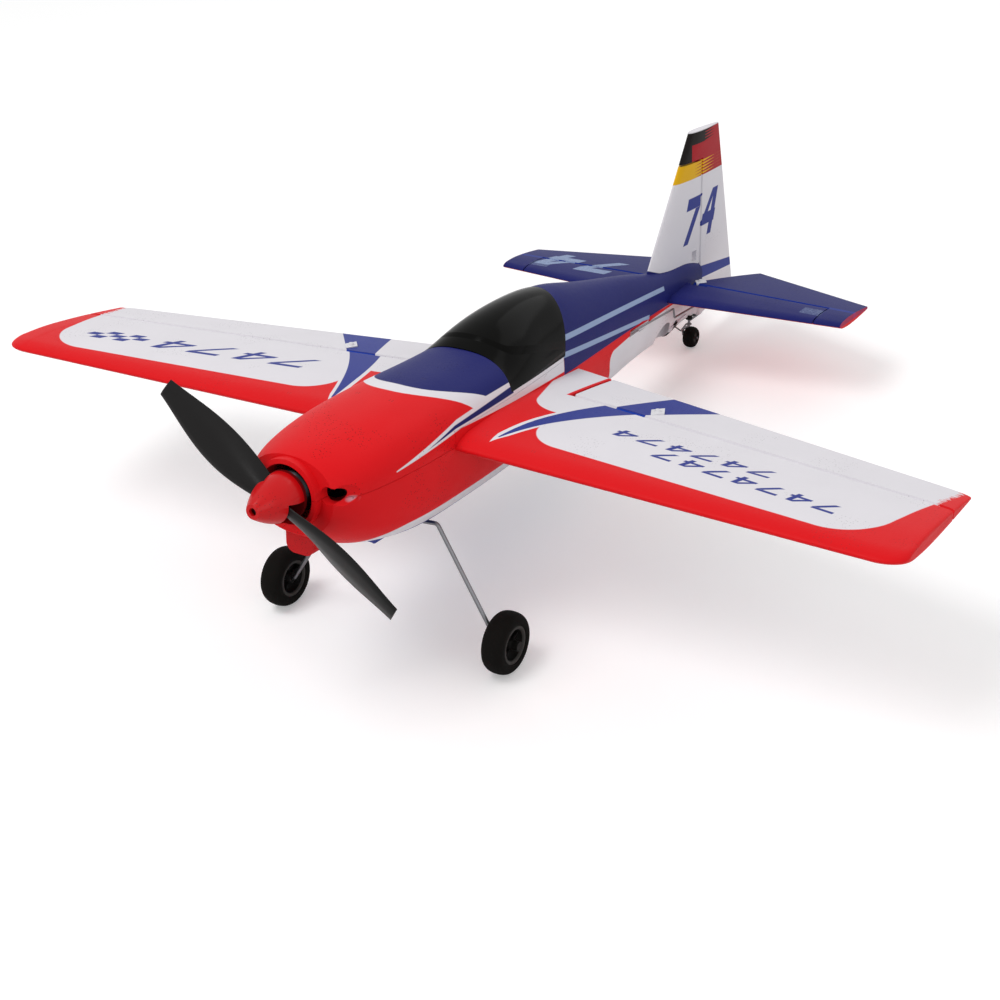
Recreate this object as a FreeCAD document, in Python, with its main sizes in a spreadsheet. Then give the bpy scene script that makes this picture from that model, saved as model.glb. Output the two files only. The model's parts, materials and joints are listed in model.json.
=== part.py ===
import FreeCAD, Part
import math
import os
import Sketcher

# Aerobatic model monoplane with a fixed tail-wheel undercarriage.
# Pieces are drawn in the flying frame: x towards the port wing tip, y aft, z up,
# with its origin where the thrust line meets the propeller disc.
# At the end they are stood on their three wheels.

Vector = FreeCAD.Vector
Placement = FreeCAD.Placement
Rotation = FreeCAD.Rotation

doc = FreeCAD.newDocument("aerobatic_monoplane")
sheet = doc.addObject("Spreadsheet::Sheet", "Sizes")

# Cross-sections of the fuselage from nose to tail: where each stands, its half width,
# its reach above and below the thrust line and how square its upper and lower halves are.
fuselage_stations = {
    "nose": {"station": 8.0, "half_width": 19.5, "top": 14.5, "bottom": 17.0,
             "top_power": 2.2, "bottom_power": 2.2},
    "cheek": {"station": 14.0, "half_width": 22.4, "top": 16.0, "bottom": 21.0,
              "top_power": 2.3, "bottom_power": 2.4},
    "cowl": {"station": 24.0, "half_width": 25.2, "top": 17.6, "bottom": 26.0,
             "top_power": 2.4, "bottom_power": 2.6},
    "bay": {"station": 40.0, "half_width": 27.2, "top": 19.6, "bottom": 31.0,
            "top_power": 2.5, "bottom_power": 2.8},
    "gear": {"station": 62.0, "half_width": 28.0, "top": 21.2, "bottom": 34.6,
             "top_power": 2.5, "bottom_power": 3.0},
    "spar": {"station": 90.0, "half_width": 27.6, "top": 21.9, "bottom": 35.5,
             "top_power": 2.5, "bottom_power": 3.0},
    "screen": {"station": 125.0, "half_width": 26.0, "top": 22.5, "bottom": 35.2,
               "top_power": 2.6, "bottom_power": 3.0},
    "seat": {"station": 155.0, "half_width": 23.6, "top": 28.2, "bottom": 34.2,
             "top_power": 2.3, "bottom_power": 3.0},
    "headrest": {"station": 184.0, "half_width": 20.8, "top": 34.0, "bottom": 32.6,
                 "top_power": 2.0, "bottom_power": 2.9},
    "deck": {"station": 215.0, "half_width": 17.3, "top": 29.4, "bottom": 30.7,
             "top_power": 2.0, "bottom_power": 2.8},
    "waist": {"station": 250.0, "half_width": 13.3, "top": 22.6, "bottom": 28.4,
              "top_power": 2.1, "bottom_power": 2.7},
    "tail": {"station": 285.0, "half_width": 9.6, "top": 16.0, "bottom": 26.0,
             "top_power": 2.2, "bottom_power": 2.6},
    "fin_root": {"station": 320.0, "half_width": 6.6, "top": 10.6, "bottom": 24.2,
                 "top_power": 2.4, "bottom_power": 2.6},
    "stern": {"station": 354.0, "half_width": 4.8, "top": 6.0, "bottom": 23.3,
              "top_power": 2.6, "bottom_power": 2.6},
}
inner_last_station = "fin_root"

# Sections of the canopy bubble between the windscreen's foot and the headrest.
canopy_stations = {
    "screen_foot": {"station": 124.0, "half_width": 26.0, "top": 22.3, "top_power": 2.6},
    "screen_low": {"station": 133.0, "half_width": 25.4, "top": 27.2, "top_power": 2.2},
    "screen_high": {"station": 145.0, "half_width": 24.5, "top": 31.6, "top_power": 2.1},
    "crown": {"station": 160.0, "half_width": 23.2, "top": 34.4, "top_power": 2.0},
    "crown_rear": {"station": 175.0, "half_width": 21.8, "top": 35.0, "top_power": 2.0},
    "arch": {"station": 192.0, "half_width": 20.0, "top": 33.4, "top_power": 2.0},
}

sizes = {
    "foam_wall": 4.0,
    "foam_beyond": 60.0,
    "seam_gap": 0.2,
    "glue_gap": 0.03,
    "running_gap": 0.05,
    "canopy_wall": 1.2,
    "hatch_floor": 1.5,
    "screen_frame": 3.0,
    "nose_seam_z": 0.0,
    "cockpit_seam_z": 6.5,
    "seam_step_y": 78.0,
    "arch_foot_y": 177.5,
    "arch_top_y": 188.5,
    "arch_top_z": 33.5,
    "ring_front_y": 4.6,
    "ring_outer": 14.0,
    "ring_bore": 12.0,
    "inlet_x": 17.2,
    "inlet_z": 2.0,
    "inlet_radius": 3.6,
    "inlet_depth": 14.0,
    "inlet_eye_x": 22.4,
    "inlet_eye_y": 12.4,
    "inlet_eye_long": 7.6,
    "inlet_eye_high": 4.3,
    "inlet_eye_deep": 2.6,
    "inlet_eye_turn": 62.0,
    "chin_half_width": 6.5,
    "chin_front_y": 12.0,
    "chin_rear_y": 31.0,
    "chin_bottom_z": -27.6,
    "chin_corner": 4.0,
    "lump_half_width": 8.5,
    "lump_front_y": 49.5,
    "lump_rear_y": 65.4,
    "lump_bottom_z": -37.2,
    "lump_corner": 3.2,
    "lump_nub_radius": 0.8,
    "lump_nub_x": 4.5,
    "lump_nub_y": 54.0,
    "bed_half_width": 12.0,
    "bed_front_y": 42.0,
    "bed_rear_y": 168.0,
    "bed_top_z": -27.0,
    "battery_length": 46.0,
    "battery_width": 20.0,
    "battery_height": 12.0,
    "battery_front_y": 46.0,
    "battery_corner": 1.5,
    "strap_width": 12.0,
    "strap_thickness": 0.8,
    "strap_overhang": 0.1,
    "board_length": 28.0,
    "board_width": 20.0,
    "board_thickness": 1.6,
    "board_front_y": 104.0,
    "chip_height": 2.4,
    "chip_length": 8.0,
    "firewall_front_y": 34.0,
    "firewall_thickness": 4.0,
    "firewall_ear_half_width": 17.0,
    "firewall_ear_top_z": 10.0,
    "firewall_root_z": -5.0,
    "mount_flange_radius": 11.0,
    "mount_flange_thickness": 2.0,
    "mount_tube_radius": 8.0,
    "mount_tube_wall": 1.6,
    "mount_front_y": 22.5,
    "screw_shank_radius": 0.9,
    "screw_length": 4.6,
    "screw_head_radius": 1.7,
    "screw_head_height": 1.2,
    "mount_screw_circle": 9.4,
    "bell_radius": 9.0,
    "bell_wall": 0.8,
    "bell_front_y": 6.6,
    "bell_front_thickness": 1.6,
    "bell_rear_y": 19.0,
    "stator_gap": 0.4,
    "stator_base_radius": 7.0,
    "stator_front_y": 9.0,
    "shaft_radius": 1.0,
    "shaft_front_y": -8.0,
    "hub_radius": 4.4,
    "hub_half_length": 3.2,
    "blade_tip_radius": 61.6,
    "blade_root_radius": 3.2,
    "blade_root_chord": 8.2,
    "blade_middle_chord": 15.8,
    "blade_tip_chord": 7.8,
    "blade_middle_radius": 27.0,
    "blade_root_pitch": 42.0,
    "blade_middle_pitch": 25.0,
    "blade_tip_pitch": 13.0,
    "blade_thickness": 1.9,
    "blade_tip_thickness": 0.8,
    "blade_parking_angle": 146.5,
    "spinner_tip_y": -14.8,
    "spinner_tip_radius": 3.0,
    "spinner_shoulder_y": -8.6,
    "spinner_shoulder_radius": 6.7,
    "spinner_cheek_y": -2.4,
    "spinner_cheek_radius": 9.0,
    "spinner_rear_y": 3.6,
    "spinner_radius": 9.6,
    "spinner_wall": 1.3,
    "spinner_hole_radius": 1.6,
    "spinner_slot_width": 10.6,
    "spinner_slot_front_y": -4.4,
    "backplate_thickness": 1.4,
    "spinner_screw_head_y": -11.6,
    "wing_half_span": 215.0,
    "wing_root_x": 12.0,
    "wing_break_x": 203.0,
    "wing_leading_root_y": 78.6,
    "wing_leading_tip_y": 69.3,
    "wing_trailing_root_y": 196.8,
    "wing_trailing_tip_y": 147.9,
    "wing_leading_z": -0.2,
    "wing_trailing_z": -2.6,
    "wing_root_thickness": 11.2,
    "wing_tip_thickness": 7.6,
    "wing_edge_thickness": 1.1,
    "wing_tip_corner": 9.0,
    "aileron_inner_x": 40.4,
    "aileron_hinge_inner_y": 150.3,
    "aileron_hinge_tip_y": 124.8,
    "aileron_end_gap": 1.2,
    "spar_radius": 1.5,
    "spar_bore": 1.0,
    "spar_half_length": 132.0,
    "spar_y": 98.4,
    "hinge_gap": 0.35,
    "hinge_bevel": 34.0,
    "hinge_barrel_radius": 0.9,
    "hinge_barrel_half_length": 2.2,
    "hinge_pin_radius": 0.45,
    "hinge_pin_half_length": 4.2,
    "hinge_leaf_depth": 7.0,
    "hinge_leaf_half_width": 3.0,
    "hinge_leaf_thickness": 0.7,
    "hinge_ear_radius": 1.15,
    "hinge_ear_length": 2.0,
    "hinge_side_gap": 0.3,
    "tailplane_half_span": 96.3,
    "tailplane_z": -2.8,
    "tailplane_leading_root_y": 306.3,
    "tailplane_leading_tip_y": 317.4,
    "tailplane_trailing_root_y": 390.0,
    "tailplane_trailing_tip_y": 355.3,
    "tailplane_root_thickness": 5.6,
    "tailplane_tip_thickness": 4.2,
    "tailplane_edge_thickness": 1.0,
    "elevator_hinge_y": 336.0,
    "elevator_inner_x": 7.2,
    "elevator_inner_rear_x": 26.8,
    "elevator_inner_rear_y": 381.0,
    "elevator_balance_x": 83.0,
    "elevator_balance_gap": 0.7,
    "joiner_radius": 1.0,
    "joiner_half_length": 16.0,
    "joiner_ear_radius": 1.9,
    "fin_leading_low_y": 273.9,
    "fin_leading_top_y": 338.7,
    "fin_trailing_low_y": 405.5,
    "fin_trailing_top_y": 373.0,
    "fin_low_z": -24.5,
    "fin_top_z": 77.5,
    "fin_low_thickness": 5.8,
    "fin_top_thickness": 3.8,
    "fin_edge_thickness": 1.0,
    "fin_cap_z": 61.6,
    "fin_cap_gap": 0.9,
    "fin_foot_z": 4.6,
    "fin_notch_front_y": 344.6,
    "fin_notch_rear_y": 350.4,
    "fin_notch_top_z": 14.0,
    "fin_notch_bottom_z": 8.4,
    "rudder_hinge_low_y": 356.4,
    "rudder_hinge_low_z": -20.0,
    "rudder_hinge_top_y": 351.6,
    "rudder_hinge_top_z": 61.8,
    "rudder_bottom_front_z": -24.2,
    "rudder_bottom_rear_z": -17.0,
    "horn_thickness": 1.2,
    "horn_arm": 8.0,
    "horn_hole_radius": 0.58,
    "open_hole_radius": 0.9,
    "horn_base_half_width": 3.3,
    "horn_base_half_length": 5.2,
    "horn_base_thickness": 0.9,
    "horn_nub_radius": 1.1,
    "aileron_horn_along": 37.5,
    "aileron_horn_aft": 9.6,
    "elevator_horn_x": 9.8,
    "elevator_horn_aft": 6.0,
    "rudder_horn_z": -9.4,
    "rudder_horn_aft": 6.0,
    "rod_radius": 0.5,
    "rod_bend": 0.9,
    "rod_offset": 1.35,
    "elevator_rod_drop": 5.2,
    "elevator_rod_step_y": 307.5,
    "elevator_servo_y": 158.0,
    "rudder_servo_y": 149.5,
    "aileron_servo_ahead": 36.0,
    "servo_length": 20.0,
    "servo_width": 7.0,
    "servo_height": 15.5,
    "servo_shaft_inset": 5.5,
    "servo_boss_radius": 2.3,
    "servo_boss_height": 1.2,
    "servo_shaft_radius": 1.2,
    "servo_shaft_height": 3.0,
    "servo_ear_length": 3.2,
    "servo_ear_thickness": 1.2,
    "servo_ear_height": 10.5,
    "servo_pocket_gap": 0.3,
    "servo_arm_plane": 17.6,
    "arm_hub_radius": 2.1,
    "arm_tip_radius": 1.3,
    "servo_tray_thickness": 1.5,
    "servo_tray_front_y": 146.0,
    "servo_tray_rear_y": 182.0,
    "servo_tray_half_width": 17.5,
    "servo_ledge_x": 14.5,
    "rod_slot_high": 4.6,
    "rod_slot_front_y": 270.0,
    "rod_slot_rear_y": 300.0,
    "rod_channel_gap": 0.8,
    "rod_channel_front_y": 215.0,
    "rod_channel_rear_y": 328.0,
    "surface_swing": 30.0,
    "magnet_radius": 2.0,
    "magnet_height": 1.5,
    "magnet_x": 21.0,
    "magnet_y": 168.0,
    "block_half_width": 16.4,
    "block_front_y": 66.0,
    "block_rear_y": 77.6,
    "block_top_z": -29.6,
    "leg_radius": 0.9,
    "leg_inner_x": 3.0,
    "leg_exit_x": 16.6,
    "leg_exit_z": -32.6,
    "leg_knee_x": 23.0,
    "leg_knee_z": -32.0,
    "leg_foot_x": 51.2,
    "leg_bend": 2.2,
    "wheel_x": 55.8,
    "wheel_y": 71.8,
    "wheel_z": -76.4,
    "tyre_radius": 13.1,
    "tyre_half_width": 5.0,
    "tyre_shoulder": 3.4,
    "rim_radius": 8.1,
    "rim_half_width": 3.9,
    "rim_lip": 1.5,
    "web_half_width": 1.2,
    "boss_radius": 2.6,
    "boss_half_width": 3.2,
    "collar_radius": 2.1,
    "collar_length": 2.6,
    "tail_wheel_y": 354.4,
    "tail_wheel_z": -35.75,
    "tail_tyre_radius": 5.67,
    "tail_tyre_half_width": 2.9,
    "tail_rim_radius": 2.6,
    "post_radius": 0.7,
    "post_ahead_of_rudder": 5.9,
    "tiller_radius": 0.6,
    "tiller_length": 14.9,
    "tiller_z": -25.7,
    "tiller_pin_height": 4.0,
    "tiller_pin_depth": 3.0,
    "tiller_slot_slack": 0.3,
    "tiller_slot_travel": 0.5,
    "post_knee_z": -28.6,
    "post_side_x": -4.4,
    "post_side_z": -31.6,
    "axle_end_x": 3.9,
    "bearing_radius": 1.8,
    "bearing_bottom_z": -24.7,
    "plate_front_y": 317.0,
    "plate_rear_y": 346.0,
    "plate_thickness": 0.7,
    "plate_top_z": -19.5,
    "brace_radius": 0.4,
    "brace_eye_z": -27.5,
    "brace_foot_y": 334.0,
    "brace_side_x": -1.2,
}

row = 0
aliases = []
for alias, value in sizes.items():
    row += 1
    aliases.append((row, alias, value))
for stations in (fuselage_stations, canopy_stations):
    for name, values in stations.items():
        for key, value in values.items():
            row += 1
            aliases.append((row, name + "_" + key, value))
for row, alias, value in aliases:
    sheet.set("A%d" % row, alias)
    sheet.set("B%d" % row, str(value))
    sheet.setAlias("B%d" % row, alias)
doc.recompute()


def size(alias):
    return float(getattr(sheet, alias))


def number(expression):
    return float(sheet.evalExpression(expression))


def bind(target, **expressions):
    for name, expression in expressions.items():
        target.setExpression(name, expression)


# Helpers that draw one solid of the document.

def box(name, x, y, z):
    solid = doc.addObject("Part::Box", name)
    bind(solid, Length="(%s) - (%s)" % (x[1], x[0]))
    bind(solid, Width="(%s) - (%s)" % (y[1], y[0]))
    bind(solid, Height="(%s) - (%s)" % (z[1], z[0]))
    solid.setExpression("Placement.Base.x", x[0])
    solid.setExpression("Placement.Base.y", y[0])
    solid.setExpression("Placement.Base.z", z[0])
    return solid


axis_turns = {
    "x": Rotation(Vector(0, 1, 0), 90),
    "y": Rotation(Vector(1, 0, 0), -90),
    "z": Rotation(),
}


def cylinder(name, axis, radius, start, length):
    solid = doc.addObject("Part::Cylinder", name)
    bind(solid, Radius=radius, Height=length)
    solid.Placement = Placement(Vector(), axis_turns[axis])
    solid.setExpression("Placement.Base.x", start[0])
    solid.setExpression("Placement.Base.y", start[1])
    solid.setExpression("Placement.Base.z", start[2])
    return solid


def fuse(name, pieces):
    joined = doc.addObject("Part::MultiFuse", name)
    joined.Shapes = pieces
    return joined


def cut(name, base, tools):
    tool = tools[0] if len(tools) == 1 else fuse(name + "_tools", tools)
    result = doc.addObject("Part::Cut", name)
    result.Base = base
    result.Tool = tool
    return result


def common(name, base, tool):
    result = doc.addObject("Part::Common", name)
    result.Base = base
    result.Tool = tool
    return result


def feature(name, shape):
    solid = doc.addObject("Part::Feature", name)
    solid.Shape = shape
    return solid


def mirrored(name, source):
    result = doc.addObject("Part::Mirroring", name)
    result.Source = source
    result.Normal = Vector(1, 0, 0)
    return result


def outline(body, name, role, corners):
    sketch = body.newObject("Sketcher::SketchObject", name)
    plane = [item for item in body.Origin.OriginFeatures if item.Role == role][0]
    sketch.AttachmentSupport = [(plane, "")]
    sketch.MapMode = "FlatFace"
    points = [(number(a), number(b)) for a, b in corners]
    count = len(points)
    for index in range(count):
        first = Vector(points[index][0], points[index][1], 0)
        second = Vector(points[(index + 1) % count][0], points[(index + 1) % count][1], 0)
        sketch.addGeometry(Part.LineSegment(first, second), False)
    for index in range(count):
        sketch.addConstraint(Sketcher.Constraint("Coincident", index, 2, (index + 1) % count, 1))
    for index, (across, along) in enumerate(corners):
        for kind, expression, value in (("DistanceX", across, points[index][0]),
                                        ("DistanceY", along, points[index][1])):
            rule = sketch.addConstraint(Sketcher.Constraint(kind, -1, 1, index, 1, value))
            sketch.setExpression("Constraints[%d]" % rule, expression)
    return sketch


def turned(name, corners, axis="V_Axis"):
    """A turned piece: corners are (radius, height) for V_Axis, (height, radius) for H_Axis."""
    body = doc.addObject("PartDesign::Body", name)
    sketch = outline(body, name + "_outline", "XY_Plane", corners)
    spin = body.newObject("PartDesign::Revolution", name + "_spin")
    spin.Profile = sketch
    spin.ReferenceAxis = (sketch, [axis])
    spin.Angle = 360
    body.Tip = spin
    return body


subparts = []


def subpart(label, solid, local=None):
    solid.Label = label
    subparts.append((label, solid, local or Placement()))
    return solid


# Lofted foam skins.

section_points = 20


def section(at, half_width, top, bottom, top_power, bottom_power):
    points = []
    for index in range(section_points):
        angle = 2 * math.pi * index / section_points
        across = math.cos(angle)
        high = math.sin(angle)
        power = top_power if high >= 0 else bottom_power
        reach = top if high >= 0 else bottom
        x = half_width * math.copysign(abs(across) ** (2 / power), across)
        z = reach * math.copysign(abs(high) ** (2 / power), high)
        points.append(Vector(x, at, z))
    curve = Part.BSplineCurve()
    curve.interpolate(points, PeriodicFlag=True)
    return Part.Wire([curve.toShape()])


def hull(grow=0.0, inner=False):
    names = list(fuselage_stations)
    if inner:
        names = names[:names.index(inner_last_station) + 1]
    wires = []
    for name in names:
        at = size(name + "_station")
        if inner and name == names[0]:
            at += size("foam_wall")
        wires.append(section(at, size(name + "_half_width") + grow, size(name + "_top") + grow,
                             size(name + "_bottom") + grow, size(name + "_top_power"),
                             size(name + "_bottom_power")))
    return Part.makeLoft(wires, True, False)


def bubble(grow=0.0):
    wires = []
    for name in canopy_stations:
        power = size(name + "_top_power")
        reach = size(name + "_top") + grow
        wires.append(section(size(name + "_station"), size(name + "_half_width") + grow,
                             reach, reach, power, power))
    return Part.makeLoft(wires, True, False)


def side_prism(points, half_width):
    """A prism along x from points given as (y, z)."""
    corners = [Vector(-half_width, y, z) for y, z in points]
    face = Part.Face(Part.makePolygon(corners + [corners[0]]))
    return face.extrude(Vector(2 * half_width, 0, 0))


def plan_prism(points, low, high):
    """A prism along z from points given as (x, y)."""
    corners = [Vector(x, y, low) for x, y in points]
    face = Part.Face(Part.makePolygon(corners + [corners[0]]))
    return face.extrude(Vector(0, 0, high - low))


def block(x, y, z):
    return Part.makeBox(x[1] - x[0], y[1] - y[0], z[1] - z[0], Vector(x[0], y[0], z[0]))


beyond = size("foam_beyond")
seam = size("seam_gap")
wall = size("foam_wall")
running = size("running_gap")
glue = size("glue_gap")

arch_slope = (size("arch_top_y") - size("arch_foot_y")) / (size("arch_top_z") - size("cockpit_seam_z"))
arch_high_z = size("arch_top_z") + beyond
arch_high_y = size("arch_top_y") + arch_slope * beyond


def hatch_zone(gap):
    """Side view of what lifts off: the nose top, the deck and the canopy."""
    low = size("nose_seam_z") + gap
    step = size("cockpit_seam_z") + gap
    return side_prism([(-beyond, low), (size("seam_step_y") - gap, low),
                       (size("seam_step_y") - gap, step), (size("arch_foot_y") - gap, step),
                       (arch_high_y - gap, arch_high_z), (-beyond, arch_high_z)], beyond)


outer_hull = hull()
inner_hull = hull(-wall, inner=True)
snug_hull = hull(glue)


def nose_tools():
    bore_depth = size("nose_station") + wall - size("ring_front_y") + 2
    bore = Part.makeCylinder(size("ring_bore"), bore_depth + 1,
                             Vector(0, size("ring_front_y") - 1, 0), Vector(0, 1, 0))
    tools = [bore]
    for side in (-1, 1):
        inlet = Part.makeCylinder(size("inlet_radius"), size("inlet_depth") + size("nose_station"),
                                  Vector(side * size("inlet_x"), 0, size("inlet_z")), Vector(0, 1, 0))
        eye = Part.makeSphere(1.0)
        stretch = FreeCAD.Matrix()
        stretch.scale(size("inlet_eye_deep"), size("inlet_eye_long"), size("inlet_eye_high"))
        eye = eye.transformGeometry(stretch)
        eye.Placement = Placement(Vector(side * size("inlet_eye_x"), size("inlet_eye_y"), size("inlet_z")),
                                  Rotation(Vector(0, 0, 1), side * (size("inlet_eye_turn") - 90)))
        tools += [inlet, eye]
    return tools


ring = Part.makeCylinder(size("ring_outer"), size("nose_station") + wall - size("ring_front_y"),
                         Vector(0, size("ring_front_y"), 0), Vector(0, 1, 0))
nose_solid = outer_hull.fuse(ring)
hollow_nose = nose_solid.cut(inner_hull).cut(nose_tools())


# Hinge lines: each has a frame whose x runs along the pin, y aft and z out of the surface.

class HingeLine:
    def __init__(self, start, end, up):
        self.start = start
        self.along = (end - start).normalize()
        self.aft = up.cross(self.along).normalize()
        self.up = self.along.cross(self.aft).normalize()
        self.length = (end - start).Length
        self.placement = Placement(start, Rotation(self.along, self.aft, self.up, "XYZ"))

    def point(self, along, aft, up):
        return self.placement.multVec(Vector(along, aft, up))

    def set(self, shape):
        placed = shape.copy()
        placed.Placement = self.placement.multiply(shape.Placement)
        return placed

    def prism(self, points, start, end):
        corners = [Vector(start, aft, up) for aft, up in points]
        face = Part.Face(Part.makePolygon(corners + [corners[0]]))
        return self.set(face.extrude(Vector(end - start, 0, 0)))

    def block(self, x, y, z):
        return self.set(block(x, y, z))

    def rod(self, radius, start, end):
        return self.set(Part.makeCylinder(radius, end - start, Vector(start, 0, 0), Vector(1, 0, 0)))

    def moving_zone(self, start, end):
        """What turns about the pin: everything aft of a bevelled nose."""
        gap = size("hinge_gap")
        tall = beyond
        lean = tall * math.tan(math.radians(size("hinge_bevel")))
        return self.prism([(gap, 0), (gap + lean, tall), (3 * beyond, tall),
                           (3 * beyond, -tall), (gap + lean, -tall)], start, end)

    def fixed_cut(self, start, end):
        """What the fixed surface leaves free: everything aft of its rear face."""
        gap = size("hinge_gap")
        return self.block((start, end), (-gap, 3 * beyond), (-beyond, beyond))


chord_line = {}


def airfoil(leading, trailing, height_leading, height_trailing, thickness, edge, place):
    """Symmetrical section from nose to trailing edge; place turns (along, up) into a point."""
    chord = trailing - leading
    shares = (1.0, 0.8, 0.6, 0.4, 0.25, 0.12, 0.04, 0.0)

    def half(share):
        curve = 0.2969 * math.sqrt(share) - 0.1260 * share - 0.3516 * share ** 2
        curve += 0.2843 * share ** 3 - 0.1036 * share ** 4
        return 5 * thickness * curve + edge / 2 * share

    def middle(share):
        return height_leading + (height_trailing - height_leading) * share

    upper = [place(leading + chord * share, middle(share) + half(share)) for share in shares]
    lower = [place(leading + chord * share, middle(share) - half(share)) for share in shares[-2::-1]]
    curve = Part.BSplineCurve()
    curve.interpolate(upper + lower)
    return Part.Wire([curve.toShape(), Part.LineSegment(lower[-1], upper[0]).toShape()])


# Wing: a straight tapered panel on each side whose tip corner is rounded.

def wing_section(x, inset=0.0, slim=1.0):
    share = x / size("wing_half_span")
    leading = size("wing_leading_root_y") * (1 - share) + size("wing_leading_tip_y") * share + inset
    trailing = size("wing_trailing_root_y") * (1 - share) + size("wing_trailing_tip_y") * share
    thickness = size("wing_root_thickness") * (1 - share) + size("wing_tip_thickness") * share
    return airfoil(leading, trailing - inset / 6, size("wing_leading_z"), size("wing_trailing_z"),
                   thickness * slim, size("wing_edge_thickness") * slim,
                   lambda along, up: Vector(x, along, up))


def whole_wing():
    break_x = size("wing_break_x")
    tip = size("wing_half_span")
    corner = size("wing_tip_corner")
    panel = Part.makeLoft([wing_section(size("wing_root_x")), wing_section(break_x)], True, True)
    round_steps = 5
    wires = []
    for step in range(round_steps):
        turn = math.pi / 2 * step / (round_steps - 1)
        inset = corner * (1 - math.cos(turn))
        slim = 0.5 + 0.5 * math.cos(turn) ** 0.5 if step < round_steps - 1 else 0.5
        wires.append(wing_section(break_x + (tip - break_x) * math.sin(turn), inset, slim))
    return panel.fuse(Part.makeLoft(wires, True, False)).removeSplitter()


wing_droop = (size("wing_trailing_z") - size("wing_leading_z"))


def chord_height(x, y):
    share = x / size("wing_half_span")
    leading = size("wing_leading_root_y") * (1 - share) + size("wing_leading_tip_y") * share
    trailing = size("wing_trailing_root_y") * (1 - share) + size("wing_trailing_tip_y") * share
    return size("wing_leading_z") + wing_droop * (y - leading) / (trailing - leading)


def aileron_line():
    inner_x = size("aileron_inner_x")
    inner_y = size("aileron_hinge_inner_y")
    tip_x = size("wing_half_span")
    tip_y = size("aileron_hinge_tip_y")
    return HingeLine(Vector(inner_x, inner_y, chord_height(inner_x, inner_y)),
                     Vector(tip_x, tip_y, chord_height(tip_x, tip_y)), Vector(0, 0, 1))


elevator_line = HingeLine(Vector(0, size("elevator_hinge_y"), size("tailplane_z")),
                          Vector(size("tailplane_half_span"), size("elevator_hinge_y"), size("tailplane_z")),
                          Vector(0, 0, 1))
rudder_line = HingeLine(Vector(0, size("rudder_hinge_low_y"), size("rudder_hinge_low_z")),
                        Vector(0, size("rudder_hinge_top_y"), size("rudder_hinge_top_z")),
                        Vector(-1, 0, 0))
aileron_hinge = aileron_line()


# Pin hinges. The leaf is glued in the fixed surface, the pin's ends turn in ears of the moving one.

aileron_hinge_places = [12.0, 66.0, 120.0]
elevator_hinge_places = [30.0, 66.0]
rudder_hinge_places = [38.0, 70.0]


def pin_hinge(line, at):
    half = size("hinge_leaf_half_width")
    thin = size("hinge_leaf_thickness") / 2
    depth = size("hinge_leaf_depth")
    barrel = size("hinge_barrel_half_length")
    pin = size("hinge_pin_half_length")
    leaf = block((at - barrel, at + barrel), (-depth, 0), (-thin, thin))
    root = block((at - half, at + half), (-depth, -2.2), (-thin, thin))
    tube = Part.makeCylinder(size("hinge_barrel_radius"), 2 * barrel,
                             Vector(at - barrel, 0, 0), Vector(1, 0, 0))
    wire = Part.makeCylinder(size("hinge_pin_radius"), 2 * pin, Vector(at - pin, 0, 0), Vector(1, 0, 0))
    return line.set(leaf.fuse([root, tube, wire]).removeSplitter())


def hinge_relief(line, at):
    """Room in the fixed surface for the barrel and the ears."""
    reach = size("hinge_ear_radius") + size("hinge_side_gap")
    half = ear_outer_end() + size("hinge_side_gap")
    return line.block((at - half, at + half), (-reach, 2 * reach), (-reach, reach))


def ear_inner_end():
    return size("hinge_barrel_half_length") + size("hinge_side_gap")


def ear_outer_end():
    return ear_inner_end() + size("hinge_ear_length")


def hinged(shape, line, places):
    """Gives a moving surface its notches, ears and pin bores."""
    reach = size("hinge_barrel_radius") + size("hinge_side_gap")
    inner_end = ear_inner_end()
    outer_end = ear_outer_end()
    for at in places:
        notch = line.block((at - inner_end, at + inner_end), (-3, reach), (-reach, reach))
        shape = shape.cut(notch)
        for side in (-1, 1):
            start = at + side * inner_end if side > 0 else at - outer_end
            shape = shape.fuse(line.rod(size("hinge_ear_radius"), start, start + size("hinge_ear_length")))
        bore = size("hinge_pin_radius") + running
        shape = shape.cut(line.rod(bore, at - outer_end - 0.5, at + outer_end + 0.5))
    return shape


def fixed_for_hinges(shape, line, places):
    for at in places:
        shape = shape.cut(hinge_relief(line, at))
        shape = shape.cut(pin_hinge(line, at))
    return shape


# Control horns: a plate with its arm hanging from a diamond base that shows on the far side.

def horn_profile(aft, arm, base_up):
    """Side view of a horn in (aft, up): its stem stands aft of the pin, its hole lies under the pin."""
    stem = 2.4
    return [(aft - stem, base_up), (aft + stem, base_up), (aft + stem, -2.0), (1.4, -arm - 1.5),
            (-1.4, -arm - 1.3), (-1.4, -arm + 1.3), (aft - stem, -2.8)]


def control_horn(line, along, aft, base_up, hole):
    arm = size("horn_arm")
    thick = size("horn_thickness")
    stem = line.prism(horn_profile(aft, arm, base_up), along - thick / 2, along + thick / 2)
    half_x = size("horn_base_half_width")
    half_y = size("horn_base_half_length")
    corners = [Vector(along - half_x, aft, base_up), Vector(along, aft - half_y, base_up),
               Vector(along + half_x, aft, base_up), Vector(along, aft + half_y, base_up)]
    face = Part.Face(Part.makePolygon(corners + [corners[0]]))
    diamond = line.set(face.extrude(Vector(0, 0, size("horn_base_thickness"))))
    nub = line.set(Part.makeCone(size("horn_nub_radius") * 1.4, size("horn_nub_radius"),
                                 size("horn_base_thickness"),
                                 Vector(along, aft, base_up + size("horn_base_thickness"))))
    bore = line.set(Part.makeCylinder(hole, 4 * thick, Vector(along - 2 * thick, 0, -arm), Vector(1, 0, 0)))
    return stem.fuse([diamond, nub]).cut(bore)


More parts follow.
